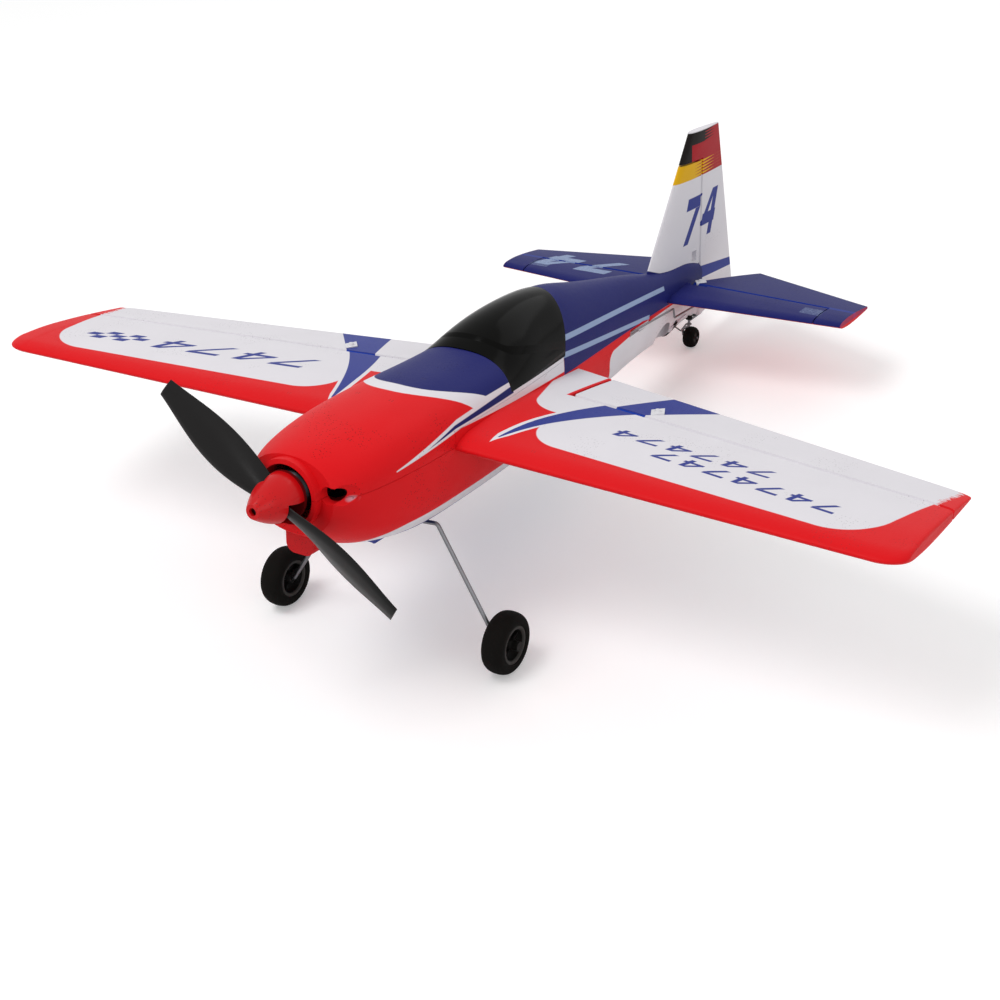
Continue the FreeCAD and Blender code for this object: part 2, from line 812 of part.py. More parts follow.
def horn_room(line, along, aft, base_up):
    """The slot and the shallow seat that a horn takes out of its surface."""
    solid = control_horn(line, along, aft, base_up, size("horn_hole_radius"))
    half_x = size("horn_base_half_width")
    half_y = size("horn_base_half_length")
    corners = [Vector(along - half_x, aft, base_up), Vector(along, aft - half_y, base_up),
               Vector(along + half_x, aft, base_up), Vector(along, aft + half_y, base_up)]
    face = Part.Face(Part.makePolygon(corners + [corners[0]]))
    return solid.fuse(line.set(face.extrude(Vector(0, 0, beyond / 10))))


# Servos, drawn with the shaft along x: base at x = 0, y aft, z across the thickness.

def servo_solid():
    inset = size("servo_shaft_inset")
    long = size("servo_length")
    half = size("servo_width") / 2
    tall = size("servo_height")
    ear = size("servo_ear_length")
    ear_at = size("servo_ear_height")
    case = block((0, tall), (-inset, long - inset), (-half, half))
    ears = block((ear_at, ear_at + size("servo_ear_thickness")), (-inset - ear, long - inset + ear),
                 (-half * 0.8, half * 0.8))
    boss = Part.makeCylinder(size("servo_boss_radius"), size("servo_boss_height"),
                             Vector(tall, 0, 0), Vector(1, 0, 0))
    shaft = Part.makeCylinder(size("servo_shaft_radius"), size("servo_shaft_height"),
                              Vector(tall, 0, 0), Vector(1, 0, 0))
    return case.fuse([ears, boss, shaft]).removeSplitter()


def arm_solid():
    """A servo arm reaching to -z, centred on the shaft's arm plane."""
    thick = size("horn_thickness")
    plane = size("servo_arm_plane")
    arm = size("horn_arm")
    low = plane - thick / 2
    hub = Part.makeCylinder(size("arm_hub_radius"), thick, Vector(low, 0, 0), Vector(1, 0, 0))
    tip = Part.makeCylinder(size("arm_tip_radius"), thick, Vector(low, 0, -arm), Vector(1, 0, 0))
    web = block((low, low + thick), (-size("arm_tip_radius"), size("arm_tip_radius")), (-arm, 0))
    shaft_bore = Part.makeCylinder(size("servo_shaft_radius") + running, 2 * thick,
                                   Vector(low - thick / 2, 0, 0), Vector(1, 0, 0))
    rod_bore = Part.makeCylinder(size("horn_hole_radius"), 2 * thick,
                                 Vector(low - thick / 2, 0, -arm), Vector(1, 0, 0))
    return hub.fuse([tip, web]).removeSplitter().cut(shaft_bore).cut(rod_bore)


def bent_wire(points, radius, bend):
    """A round wire along straight runs joined by tangent arcs."""
    edges = []
    last = points[0]
    for index in range(1, len(points) - 1):
        corner = points[index]
        back = (points[index - 1] - corner).normalize()
        ahead = (points[index + 1] - corner).normalize()
        opening = back.getAngle(ahead)
        reach = bend / math.tan(opening / 2)
        start = corner + back * reach
        end = corner + ahead * reach
        towards = (back + ahead).normalize()
        centre = corner + towards * (bend / math.sin(opening / 2))
        edges.append(Part.LineSegment(last, start).toShape())
        edges.append(Part.Arc(start, centre - towards * bend, end).toShape())
        last = end
    edges.append(Part.LineSegment(last, points[-1]).toShape())
    path = Part.Wire(edges)
    direction = (points[1] - points[0]).normalize()
    ring_edge = Part.makeCircle(radius, points[0], direction)
    return path.makePipeShell([Part.Wire([ring_edge])], True, False)


# Where the servos stand: a frame for each, along its shaft.

def servo_frame(position, along, up):
    aft = up.cross(along).normalize()
    return Placement(position, Rotation(along, aft, up, "XYZ"))


arm_plane = size("servo_arm_plane")
elevator_shaft_z = size("tailplane_z") + size("elevator_rod_drop")
elevator_servo_base = Vector(size("elevator_horn_x") - arm_plane, size("elevator_servo_y"), elevator_shaft_z)
elevator_servo_place = servo_frame(elevator_servo_base, Vector(1, 0, 0), Vector(0, 0, 1))
rudder_servo_base = Vector(0, size("rudder_servo_y"), size("bed_top_z"))
rudder_servo_place = servo_frame(rudder_servo_base, Vector(0, 0, 1), Vector(1, 0, 0))
aileron_servo_base = aileron_hinge.point(size("aileron_horn_along") - arm_plane,
                                         -size("aileron_servo_ahead"), 0)
aileron_servo_place = servo_frame(aileron_servo_base, aileron_hinge.along, aileron_hinge.up)


# Control surfaces and the skins they are cut from.

def tail_section(x, line_z, leading, trailing, thickness):
    return airfoil(leading, trailing, line_z, line_z, thickness, size("tailplane_edge_thickness"),
                   lambda along, up: Vector(x, along, up))


def whole_tailplane():
    tip = size("tailplane_half_span")
    z = size("tailplane_z")
    middle = tail_section(0, z, size("tailplane_leading_root_y"), size("tailplane_trailing_root_y"),
                          size("tailplane_root_thickness"))
    sides = []
    for side in (-1, 1):
        end = tail_section(side * tip, z, size("tailplane_leading_tip_y"),
                           size("tailplane_trailing_tip_y"), size("tailplane_tip_thickness"))
        sides.append(Part.makeLoft([middle, end], True, True))
    return sides


def whole_fin():
    low = size("fin_low_z")
    top = size("fin_top_z")
    wires = []
    for z, leading, trailing, thickness in (
            (low, size("fin_leading_low_y"), size("fin_trailing_low_y"), size("fin_low_thickness")),
            (top, size("fin_leading_top_y"), size("fin_trailing_top_y"), size("fin_top_thickness"))):
        wires.append(airfoil(leading, trailing, 0, 0, thickness, size("fin_edge_thickness"),
                             lambda along, across, z=z: Vector(across, along, z)))
    return Part.makeLoft(wires, True, True)


wing_port_whole = whole_wing()
tail_starboard_whole, tail_port_whole = whole_tailplane()
fin_whole = whole_fin()

aileron_base_up = 2.5
elevator_base_up = 1.9
rudder_base_up = 1.75
aileron_horn_at = size("aileron_horn_along")
rudder_horn_along = (size("rudder_horn_z") - size("rudder_hinge_low_z")) / rudder_line.along.z


def servo_pocket():
    """The pocket under the wing for a servo and its arm."""
    gap = size("servo_pocket_gap")
    inset = size("servo_shaft_inset")
    long = size("servo_length")
    half = size("servo_width") / 2
    ear = size("servo_ear_length")
    case = block((-gap, size("servo_height") + gap), (-inset - gap, long - inset + gap), (-beyond, half))
    ears_low = size("servo_ear_height")
    ears = block((ears_low - gap, ears_low + size("servo_ear_thickness") + gap),
                 (-inset - ear - gap, long - inset + ear + gap), (-beyond, half))
    arm = block((size("servo_height"), size("servo_arm_plane") + size("rod_offset") + 1.6), (-6.5, 6.5),
                (-beyond, size("arm_hub_radius") + gap))
    pocket = case.fuse([ears, arm])
    pocket.Placement = aileron_servo_place
    return pocket


def wing_panel():
    inner = size("aileron_end_gap")
    panel = wing_port_whole.cut(aileron_hinge.fixed_cut(-beyond, 2 * size("wing_half_span")))
    root_rest = wing_port_whole.common(block((0, size("aileron_inner_x") - inner), (0, 3 * beyond + 40),
                                             (-beyond, beyond)))
    panel = panel.fuse(root_rest).removeSplitter()
    panel = panel.cut(snug_hull)
    spar = Part.makeCylinder(size("spar_radius") + glue, size("spar_half_length") + glue,
                             Vector(0, size("spar_y"), spar_z()), Vector(1, 0, 0))
    panel = panel.cut(spar).cut(servo_pocket())
    return fixed_for_hinges(panel, aileron_hinge, aileron_hinge_places)


def spar_z():
    return chord_height(size("wing_half_span") / 2, size("spar_y"))


def aileron():
    zone = aileron_hinge.moving_zone(-beyond, 2 * size("wing_half_span"))
    outboard = block((size("aileron_inner_x"), 2 * size("wing_half_span")), (0, 6 * beyond),
                     (-beyond, beyond))
    shape = wing_port_whole.common(zone).common(outboard)
    shape = hinged(shape, aileron_hinge, aileron_hinge_places)
    return shape.cut(horn_room(aileron_hinge, aileron_horn_at, size("aileron_horn_aft"), aileron_base_up))


def stabiliser():
    both = tail_port_whole.fuse(tail_starboard_whole).removeSplitter()
    tip = size("elevator_balance_x") - size("elevator_balance_gap")
    keep = block((-tip, tip), (0, size("elevator_hinge_y") - size("hinge_gap")), (-beyond, beyond))
    shape = both.common(keep)
    shape = shape.cut(elevator_line.rod(size("joiner_radius") + running, -beyond, beyond))
    ear = size("joiner_ear_radius") + size("hinge_side_gap")
    end = size("joiner_half_length") + size("hinge_side_gap") + 0.4
    start = size("elevator_inner_x") - size("hinge_side_gap")
    for low, high in ((start, end), (-end, -start)):
        shape = shape.cut(elevator_line.block((low, high), (-ear, ear), (-beyond, beyond)))
    for side in (-1, 1):
        shape = fixed_for_hinges(shape, elevator_line, [side * at for at in elevator_hinge_places])
    return shape


def elevator_half():
    balance = size("elevator_balance_x")
    zone = elevator_line.moving_zone(size("elevator_inner_x"), 2 * size("tailplane_half_span"))
    tip = block((balance, 2 * size("tailplane_half_span")), (0, 8 * beyond), (-beyond, beyond))
    shape = tail_port_whole.common(zone.fuse(tip))
    rear_y = size("elevator_inner_rear_y")
    inner = plan_prism([(-beyond, 0), (size("elevator_inner_x"), 0),
                        (size("elevator_inner_x"), size("elevator_hinge_y") + 1.0),
                        (size("elevator_inner_rear_x"), rear_y),
                        (size("elevator_inner_rear_x"), rear_y + beyond), (-beyond, rear_y + beyond)],
                       -beyond, beyond)
    shape = shape.cut(inner)
    shape = hinged(shape, elevator_line, elevator_hinge_places)
    ear = elevator_line.rod(size("joiner_ear_radius"), size("elevator_inner_x"), size("joiner_half_length"))
    shape = shape.fuse(ear).cut(elevator_line.rod(size("joiner_radius"), 0, size("joiner_half_length")))
    return shape.cut(horn_room(elevator_line, size("elevator_horn_x"), size("elevator_horn_aft"),
                               elevator_base_up))


def fin():
    keep = block((-beyond, beyond), (0, 8 * beyond), (size("fin_foot_z"), size("fin_cap_z")))
    shape = fin_whole.common(keep).cut(rudder_line.fixed_cut(-2 * beyond, 3 * beyond))
    shape = shape.cut(snug_hull)
    notch = block((-beyond, beyond), (size("fin_notch_front_y"), size("fin_notch_rear_y")),
                  (size("fin_notch_bottom_z"), size("fin_notch_top_z")))
    return fixed_for_hinges(shape.cut(notch), rudder_line, rudder_hinge_places)


def rudder():
    zone = rudder_line.moving_zone(-2 * beyond, 3 * beyond)
    balance = block((-beyond, beyond), (0, 8 * beyond),
                    (size("fin_cap_z") + size("fin_cap_gap"), 2 * size("fin_top_z")))
    shape = fin_whole.common(zone.fuse(balance))
    sole = side_prism([(0, -beyond), (0, size("rudder_bottom_front_z")),
                       (size("rudder_hinge_low_y"), size("rudder_bottom_front_z")),
                       (size("fin_trailing_low_y"), size("rudder_bottom_rear_z")),
                       (8 * beyond, size("rudder_bottom_rear_z")), (8 * beyond, -beyond)], beyond)
    shape = shape.cut(sole)
    shape = hinged(shape, rudder_line, rudder_hinge_places)
    shape = shape.cut(horn_room(rudder_line, rudder_horn_along, size("rudder_horn_aft"), rudder_base_up))
    return shape.cut(tiller_slot())


def tiller_slot():
    """A slot in the rudder's sole for the tiller's pin."""
    pin = size("post_radius")
    at = size("tiller_length") - size("post_ahead_of_rudder")
    slack = size("tiller_slot_slack")
    top = tiller_along() + size("tiller_pin_height") + slack
    rear = at + pin + size("tiller_slot_travel") + slack
    return rudder_line.block((-beyond, top), (at - pin - slack, rear), (-pin - slack, pin + slack))


def tiller_along():
    return (on_post(size("tiller_z")) - rudder_line.point(0, 0, 0)).dot(rudder_line.along)


# Fuselage shell: everything moulded in one below the seam, with the deck behind the canopy.

def rod_exit(x, z, side):
    """The open mouth through which a push-rod leaves the fuselage side."""
    half_high = size("rod_slot_high") / 2
    outer = side * beyond
    return block((min(x, outer), max(x, outer)), (size("rod_slot_front_y"), size("rod_slot_rear_y")),
                 (z - half_high, z + half_high))


def rod_corridor(x, z, front, rear, sideways, upwards):
    """The channel in the foam along a push-rod, wide enough for its swing."""
    gap = size("rod_radius") + size("rod_channel_gap")
    return block((x - gap, x + gap + sideways), (front, rear), (z - gap, z + gap + upwards))


elevator_rod_x = size("elevator_horn_x") + size("rod_offset")
elevator_rod_z = elevator_shaft_z - size("horn_arm")
rudder_rod_x = -size("horn_arm")
rudder_rod_z = size("rudder_horn_z") - size("rod_offset")


def main_bed():
    bed = block((-size("bed_half_width"), size("bed_half_width")), (size("bed_front_y"), size("bed_rear_y")),
                (-2 * beyond, size("bed_top_z")))
    return bed.common(outer_hull)


def servo_ledges():
    top = elevator_shaft_z - size("servo_width") / 2 - size("servo_tray_thickness")
    ledges = []
    for side in (-1, 1):
        inner_x = side * size("servo_ledge_x")
        outer_x = side * beyond
        ledges.append(block((min(inner_x, outer_x), max(inner_x, outer_x)),
                            (size("servo_tray_front_y"), size("servo_tray_rear_y")), (top - 6, top)))
    return [ledge.common(outer_hull) for ledge in ledges]


def magnet_seats():
    """Foam lugs that carry the fuselage's magnets, level with the cockpit seam."""
    seats = []
    for side in (-1, 1):
        reach = size("magnet_radius") + 1.0
        seats.append(block((side * size("magnet_x") - reach, side * size("magnet_x") + reach),
                           (size("magnet_y") - reach, size("magnet_y") + reach),
                           (size("cockpit_seam_z") - 4, size("cockpit_seam_z"))).common(outer_hull))
    return seats


def magnets(low):
    height = size("magnet_height")
    return [Part.makeCylinder(size("magnet_radius"), height,
                              Vector(side * magnet_x(), size("magnet_y"), low)) for side in (-1, 1)]


def magnet_x():
    return size("magnet_x") - size("foam_wall")


def leg_points():
    y = size("wheel_y")
    return [Vector(size("leg_inner_x"), y, size("leg_exit_z")),
            Vector(size("leg_exit_x"), y, size("leg_exit_z")),
            Vector(size("leg_knee_x"), y, size("leg_knee_z")),
            Vector(size("leg_foot_x"), y, size("wheel_z")),
            Vector(axle_end(), y, size("wheel_z"))]


def axle_end():
    return size("wheel_x") + size("boss_half_width") + seam + size("collar_length")


leg_port_shape = bent_wire(leg_points(), size("leg_radius"), size("leg_bend"))


def gear_block_space(gap):
    half = size("block_half_width") + gap
    return block((-half, half), (size("block_front_y") - gap, size("block_rear_y") + gap),
                 (-2 * beyond, size("block_top_z") + gap))


def leg_channel():
    grow = size("leg_radius") + glue
    run = [Part.makeCylinder(grow, beyond, Vector(0, size("wheel_y"), size("leg_exit_z")),
                             Vector(side, 0, 0)) for side in (-1, 1)]
    return run[0].fuse(run[1])


post_line_start = rudder_line.point(0, -size("post_ahead_of_rudder"), 0)


def on_post(z):
    """The point of the steering axis at a given height."""
    return post_line_start + rudder_line.along * ((z - post_line_start.z) / rudder_line.along.z)


def post_tube(radius, low, high):
    start = on_post(low)
    return Part.makeCylinder(radius, (on_post(high) - start).Length, start, rudder_line.along)


def fuselage_shell():
    shape = hollow_nose.fuse([main_bed()] + servo_ledges())
    shape = shape.cut(hatch_zone(0.0))
    shape = shape.fuse(magnet_seats()).cut(hatch_zone(0.0)).fuse(firewall())
    swing = size("horn_arm") * (1 - math.cos(math.radians(size("surface_swing"))))
    inner_reach = size("rod_radius") + size("rod_channel_gap")
    tools = [rod_exit(elevator_rod_x - inner_reach, elevator_rod_z, 1),
             rod_exit(rudder_rod_x + inner_reach + swing, rudder_rod_z, -1),
             rod_corridor(elevator_rod_x, elevator_rod_z, size("rod_channel_front_y"),
                          size("rod_channel_rear_y"), 0, swing),
             rod_corridor(rudder_rod_x, rudder_rod_z, size("rod_channel_front_y"),
                          size("rod_channel_rear_y"), swing, 0),
             gear_block_space(glue),
             leg_channel(),
             Part.makeCylinder(size("spar_radius") + glue, 2 * beyond,
                               Vector(-beyond, size("spar_y"), spar_z()), Vector(1, 0, 0)),
             elevator_line.rod(size("joiner_radius") + running, -beyond, beyond),
             post_tube(size("bearing_radius") + glue, size("bearing_bottom_z") - 1, bearing_top_z()),
             strap_space(glue)]
    tools += magnets(size("cockpit_seam_z") - size("magnet_height"))
    shape = shape.cut(tools).cut(gear_screw_shapes())
    return shape.cut(stabiliser_shape)


def bearing_top_z():
    return size("bearing_bottom_z") + 5.0


battery_z = size("bed_top_z")


def strap_space(gap):
    rear = size("battery_front_y") + (size("battery_length") + size("strap_width")) / 2 + gap
    front = rear - size("strap_width") - 2 * gap
    half = size("battery_width") / 2 + size("strap_overhang") + size("strap_thickness") + gap
    low = battery_z - size("strap_overhang") - size("strap_thickness") - gap
    return block((-half, half), (front, rear), (low, battery_z))


def top_hatch():
    zone = hatch_zone(seam)
    floor_low = size("cockpit_seam_z") + seam
    floor_high = floor_low + size("hatch_floor")
    screen_y = size("screen_foot_station") + 1.0
    front = hollow_nose.common(block((-beyond, beyond), (-beyond, screen_y), (-beyond, beyond)))
    frame_front = screen_y - size("screen_frame")
    wall_plate = outer_hull.common(block((-beyond, beyond), (frame_front, screen_y), (floor_low, beyond)))
    floor = outer_hull.common(block((-beyond, beyond), (frame_front, 4 * beyond), (floor_low, floor_high)))
    shape = front.fuse([wall_plate, floor]).common(zone)
    return shape.cut(magnets(floor_low))


def canopy():
    floor_high = size("cockpit_seam_z") + seam + size("hatch_floor")
    room = block((-beyond, beyond), (size("screen_foot_station") + 1.0, 4 * beyond), (floor_high, 2 * beyond))
    skin = bubble().cut(bubble(-size("canopy_wall")))
    return skin.common(room).common(hatch_zone(seam))


def gear_block():
    shape = gear_block_space(0.0).common(outer_hull)
    shape = shape.cut(leg_port_shape).cut(leg_port_shape.mirror(Vector(), Vector(1, 0, 0)))
    return shape.cut(gear_screw_shapes())


def screw_solid(radius_extra=0.0):
    """A pan-head screw along +z with its head under the seat plane at z = 0."""
    shank = Part.makeCylinder(size("screw_shank_radius") + radius_extra, size("screw_length"))
    head = Part.makeCylinder(size("screw_head_radius") + radius_extra, size("screw_head_height"),
                             Vector(0, 0, -size("screw_head_height")))
    return head.fuse(shank).removeSplitter()


def gear_screw_shapes():
    y = (size("block_front_y") + size("wheel_y") - size("leg_radius")) / 2
    low = -size("gear_bottom") + size("screw_head_height") - 0.2
    shapes = []
    for side in (-1, 1):
        screw = screw_solid()
        screw.Placement = Placement(Vector(side * 8, y, low), Rotation())
        shapes.append(screw)
    return shapes


def motor_screw_shapes():
    shapes = []
    for index in range(4):
        angle = math.radians(45 + 90 * index)
        circle = size("mount_screw_circle")
        seat = Vector(circle * math.cos(angle), size("firewall_front_y") - size("mount_flange_thickness"),
                      circle * math.sin(angle))
        screw = screw_solid()
        screw.Placement = Placement(seat, axis_turns["y"])
        shapes.append(screw)
    return shapes


def firewall():
    front = size("firewall_front_y")
    rear = front + size("firewall_thickness")
    low = block((-beyond, beyond), (front, rear), (-beyond, size("nose_seam_z"))).common(outer_hull)
    ear = size("firewall_ear_half_width")
    high = block((-ear, ear), (front, rear), (size("firewall_root_z"), size("firewall_ear_top_z")))
    wire_hole = Part.makeCylinder(4.0, 10, Vector(0, front - 3, 0), Vector(0, 1, 0))
    return low.fuse(high).removeSplitter().cut(wire_hole).cut(motor_screw_shapes())


def blade(turn):
    """One blade as a loft of thin sections from hub to tip, twisted to its pitch."""
    middle_radius = size("blade_middle_radius")
    tip_radius = size("blade_tip_radius")
    root_radius = size("blade_root_radius")
    chords = [size("blade_%s_chord" % at) for at in ("root", "middle", "tip")]
    pitches = [size("blade_%s_pitch" % at) for at in ("root", "middle", "tip")]
    thick = size("blade_thickness")
    thin = size("blade_tip_thickness")
    stations = ((root_radius, chords[0], pitches[0], thick * 1.6),
                ((root_radius + middle_radius) / 2, (chords[0] + chords[1]) * 0.54,
                 (pitches[0] + pitches[1]) / 2, thick * 1.2),
                (middle_radius, chords[1], pitches[1], thick),
                ((middle_radius + tip_radius) / 2, (chords[1] + chords[2]) * 0.58,
                 (pitches[1] + pitches[2]) / 2, (thick + thin) / 2),
                (tip_radius, chords[2], pitches[2], thin))
    wires = []
    for radius, chord, pitch, thickness in stations:
        lean = math.radians(pitch)
        nose_way = Vector(0, -math.sin(lean), math.cos(lean))
        face_way = Vector(0, -math.cos(lean), -math.sin(lean))
        shares = (-0.42, -0.2, 0.05, 0.3, 0.5, 0.58)
        heights = (0.12, 0.62, 1.0, 0.92, 0.5, 0.0)
        upper = [Vector(radius, 0, 0) + nose_way * (chord * share) + face_way * (thickness * height)
                 for share, height in zip(shares, heights)]
        lower = [Vector(radius, 0, 0) + nose_way * (chord * share) - face_way * (thickness * height * 0.12)
                 for share, height in zip(shares[-2::-1], heights[-2::-1])]
        curve = Part.BSplineCurve()
        curve.interpolate(upper + lower)
        wires.append(Part.Wire([curve.toShape(), Part.LineSegment(lower[-1], upper[0]).toShape()]))
    shape = Part.makeLoft(wires, True, False)
    shape.Placement = Placement(Vector(), Rotation(Vector(0, 1, 0), turn))
    return shape


def propeller():
    half = size("hub_half_length")
    hub = Part.makeCylinder(size("hub_radius"), 2 * half, Vector(0, -half, 0), Vector(0, 1, 0))
    parked = -size("blade_parking_angle")
    shape = hub.fuse([blade(parked), blade(parked + 180)]).removeSplitter()
    bore = Part.makeCylinder(size("shaft_radius"), 4 * half, Vector(0, -2 * half, 0), Vector(0, 1, 0))
    return shape.cut(bore)


stabiliser_shape = stabiliser()

# Moulded foam airframe.
subpart("fuselage_shell", feature("fuselage_shell", fuselage_shell()))
subpart("top_hatch", feature("top_hatch", top_hatch()))
subpart("canopy_glazing", feature("canopy_glazing", canopy()))
upper_magnets = Part.makeCompound(magnets(size("cockpit_seam_z") + seam))
subpart("hatch_magnets", feature("hatch_magnets", upper_magnets))
lower_magnets = Part.makeCompound(magnets(size("cockpit_seam_z") - size("magnet_height")))
subpart("fuselage_magnets", feature("fuselage_magnets", lower_magnets))

# Chin scoop and belly blister.
chin = doc.addObject("Part::Fillet", "chin_scoop_block")
chin.Base = box("chin_scoop_box", ("-Sizes.chin_half_width", "Sizes.chin_half_width"),
                ("Sizes.chin_front_y", "Sizes.chin_rear_y"), ("Sizes.chin_bottom_z", "0"))
chin.Edges = [(4, size("chin_corner"), size("chin_corner")), (8, size("chin_corner"), size("chin_corner"))]
subpart("chin_scoop", cut("chin_scoop", chin, [feature("chin_scoop_seat", hull(glue).fuse(ring))]))

lump = doc.addObject("Part::Fillet", "belly_blister_block")
lump.Base = box("belly_blister_box", ("-Sizes.lump_half_width", "Sizes.lump_half_width"),
                ("Sizes.lump_front_y", "Sizes.lump_rear_y"),
                ("Sizes.lump_bottom_z", "Sizes.lump_bottom_z + 12"))
lump.Edges = [(edge, size("lump_corner"), size("lump_corner")) for edge in (4, 8, 9, 11)]
nub = cylinder("belly_blister_nub", "z", "Sizes.lump_nub_radius",
               ("Sizes.lump_nub_x", "Sizes.lump_nub_y", "Sizes.lump_bottom_z - 1.0"), "3")
subpart("belly_blister", cut("belly_blister", fuse("belly_blister_solid", [lump, nub]),
                             [feature("belly_blister_seat", hull(glue))]))

# Power train.
mount = turned("motor_mount_turned", [
    ("Sizes.mount_tube_radius - Sizes.mount_tube_wall", "Sizes.mount_front_y"),
    ("Sizes.mount_tube_radius", "Sizes.mount_front_y"),
    ("Sizes.mount_tube_radius", "Sizes.firewall_front_y - Sizes.mount_flange_thickness"),
    ("Sizes.mount_flange_radius", "Sizes.firewall_front_y - Sizes.mount_flange_thickness"),
    ("Sizes.mount_flange_radius", "Sizes.firewall_front_y"),
    ("Sizes.mount_tube_radius - Sizes.mount_tube_wall", "Sizes.firewall_front_y")])
subpart("motor_mount", cut("motor_mount", mount, [feature("motor_mount_screw_room",
                                                          Part.makeCompound(motor_screw_shapes()))]))
screws = Part.makeCompound(motor_screw_shapes() + gear_screw_shapes())
subpart("mount_screws", feature("mount_screws", screws))
subpart("motor_stator", turned("motor_stator", [
    ("Sizes.shaft_radius + Sizes.running_gap", "Sizes.stator_front_y"),
    ("Sizes.bell_radius - Sizes.bell_wall - Sizes.stator_gap", "Sizes.stator_front_y"),
    ("Sizes.bell_radius - Sizes.bell_wall - Sizes.stator_gap", "Sizes.bell_rear_y"),
    ("Sizes.stator_base_radius", "Sizes.bell_rear_y"),
    ("Sizes.stator_base_radius", "Sizes.bell_rear_y + Sizes.seam_gap"),
    ("Sizes.mount_tube_radius", "Sizes.bell_rear_y + Sizes.seam_gap * 3"),
    ("Sizes.mount_tube_radius", "Sizes.mount_front_y"),
    ("Sizes.shaft_radius + Sizes.running_gap", "Sizes.mount_front_y")]))
subpart("motor_bell", turned("motor_bell", [
    ("Sizes.shaft_radius", "Sizes.bell_front_y"),
    ("Sizes.bell_radius - Sizes.bell_wall", "Sizes.bell_front_y"),
    ("Sizes.bell_radius", "Sizes.bell_front_y + Sizes.bell_wall"),
    ("Sizes.bell_radius", "Sizes.bell_rear_y - Sizes.seam_gap"),
    ("Sizes.bell_radius - Sizes.bell_wall", "Sizes.bell_rear_y - Sizes.seam_gap"),
    ("Sizes.bell_radius - Sizes.bell_wall", "Sizes.bell_front_y + Sizes.bell_front_thickness"),
    ("Sizes.shaft_radius", "Sizes.bell_front_y + Sizes.bell_front_thickness")]))
subpart("motor_shaft", turned("motor_shaft", [
    ("0", "Sizes.shaft_front_y"),
    ("Sizes.shaft_radius", "Sizes.shaft_front_y"),
    ("Sizes.shaft_radius", "Sizes.mount_front_y - Sizes.seam_gap"),
    ("0", "Sizes.mount_front_y - Sizes.seam_gap")]))
subpart("propeller", feature("propeller", propeller()))
subpart("spinner_backplate", turned("spinner_backplate", [
    ("Sizes.shaft_radius", "Sizes.spinner_rear_y"),
    ("Sizes.spinner_radius", "Sizes.spinner_rear_y"),
    ("Sizes.spinner_radius", "Sizes.spinner_rear_y + Sizes.backplate_thickness"),
    ("Sizes.shaft_radius", "Sizes.spinner_rear_y + Sizes.backplate_thickness")]))


def spinner():
    def ogive(shrink):
        points = [Vector(size("spinner_tip_radius") - shrink, size("spinner_tip_y") + shrink, 0),
                  Vector(size("spinner_shoulder_radius") - shrink, size("spinner_shoulder_y"), 0),
                  Vector(size("spinner_cheek_radius") - shrink, size("spinner_cheek_y"), 0),
                  Vector(size("spinner_radius") - shrink, size("spinner_rear_y"), 0)]
        curve = Part.BSplineCurve()
        curve.interpolate(points)
        base = Vector(0, size("spinner_rear_y"), 0)
        tip = Vector(0, size("spinner_tip_y") + shrink, 0)
        edges = [curve.toShape(), Part.LineSegment(points[-1], base).toShape(),
                 Part.LineSegment(base, tip).toShape(), Part.LineSegment(tip, points[0]).toShape()]
        face = Part.Face(Part.Wire(edges))
        return face.revolve(Vector(), Vector(0, 1, 0), 360)

    shape = ogive(0.0).cut(ogive(size("spinner_wall")))
    hole = Part.makeCylinder(size("spinner_hole_radius"), beyond, Vector(0, -beyond, 0), Vector(0, 1, 0))
    slot = block((-beyond, beyond), (size("spinner_slot_front_y"), beyond),
                 (-size("spinner_slot_width") / 2, size("spinner_slot_width") / 2))
    slot.Placement = Placement(Vector(), Rotation(Vector(0, 1, 0), -size("blade_parking_angle")))
    return shape.cut([hole, slot])


subpart("spinner", feature("spinner", spinner()))
subpart("spinner_screw", turned("spinner_screw", [
    ("0", "Sizes.spinner_screw_head_y"),
    ("Sizes.spinner_hole_radius + 0.9", "Sizes.spinner_screw_head_y"),
    ("Sizes.spinner_hole_radius + 0.9", "Sizes.spinner_screw_head_y + 1.4"),
    ("Sizes.shaft_radius", "Sizes.spinner_screw_head_y + 1.4"),
    ("Sizes.shaft_radius", "Sizes.shaft_front_y"),
    ("0", "Sizes.shaft_front_y")]))

# Battery, strap and electronics.
battery = doc.addObject("Part::Fillet", "battery_cell")
battery.Base = box("battery_box", ("-Sizes.battery_width / 2", "Sizes.battery_width / 2"),
                   ("Sizes.battery_front_y", "Sizes.battery_front_y + Sizes.battery_length"),
                   ("Sizes.bed_top_z", "Sizes.bed_top_z + Sizes.battery_height"))
battery.Edges = [(edge, size("battery_corner"), size("battery_corner")) for edge in range(1, 13)]
subpart("battery", battery)
strap_edge = "Sizes.battery_width / 2 + Sizes.strap_overhang"
strap_front = "Sizes.battery_front_y + (Sizes.battery_length - Sizes.strap_width) / 2"
strap_rear = "Sizes.battery_front_y + (Sizes.battery_length + Sizes.strap_width) / 2"
strap_top = "Sizes.bed_top_z + Sizes.battery_height + Sizes.strap_overhang"
strap_outer = box("strap_outer", ("-(%s + Sizes.strap_thickness)" % strap_edge,
                                  "%s + Sizes.strap_thickness" % strap_edge), (strap_front, strap_rear),
                  ("Sizes.bed_top_z - Sizes.strap_overhang - Sizes.strap_thickness",
                   "%s + Sizes.strap_thickness" % strap_top))
strap_inner = box("strap_inner", ("-(%s)" % strap_edge, strap_edge),
                  (strap_front + " - 1", strap_rear + " + 1"),
                  ("Sizes.bed_top_z - Sizes.strap_overhang", strap_top))
subpart("battery_strap", cut("battery_strap", strap_outer, [strap_inner]))
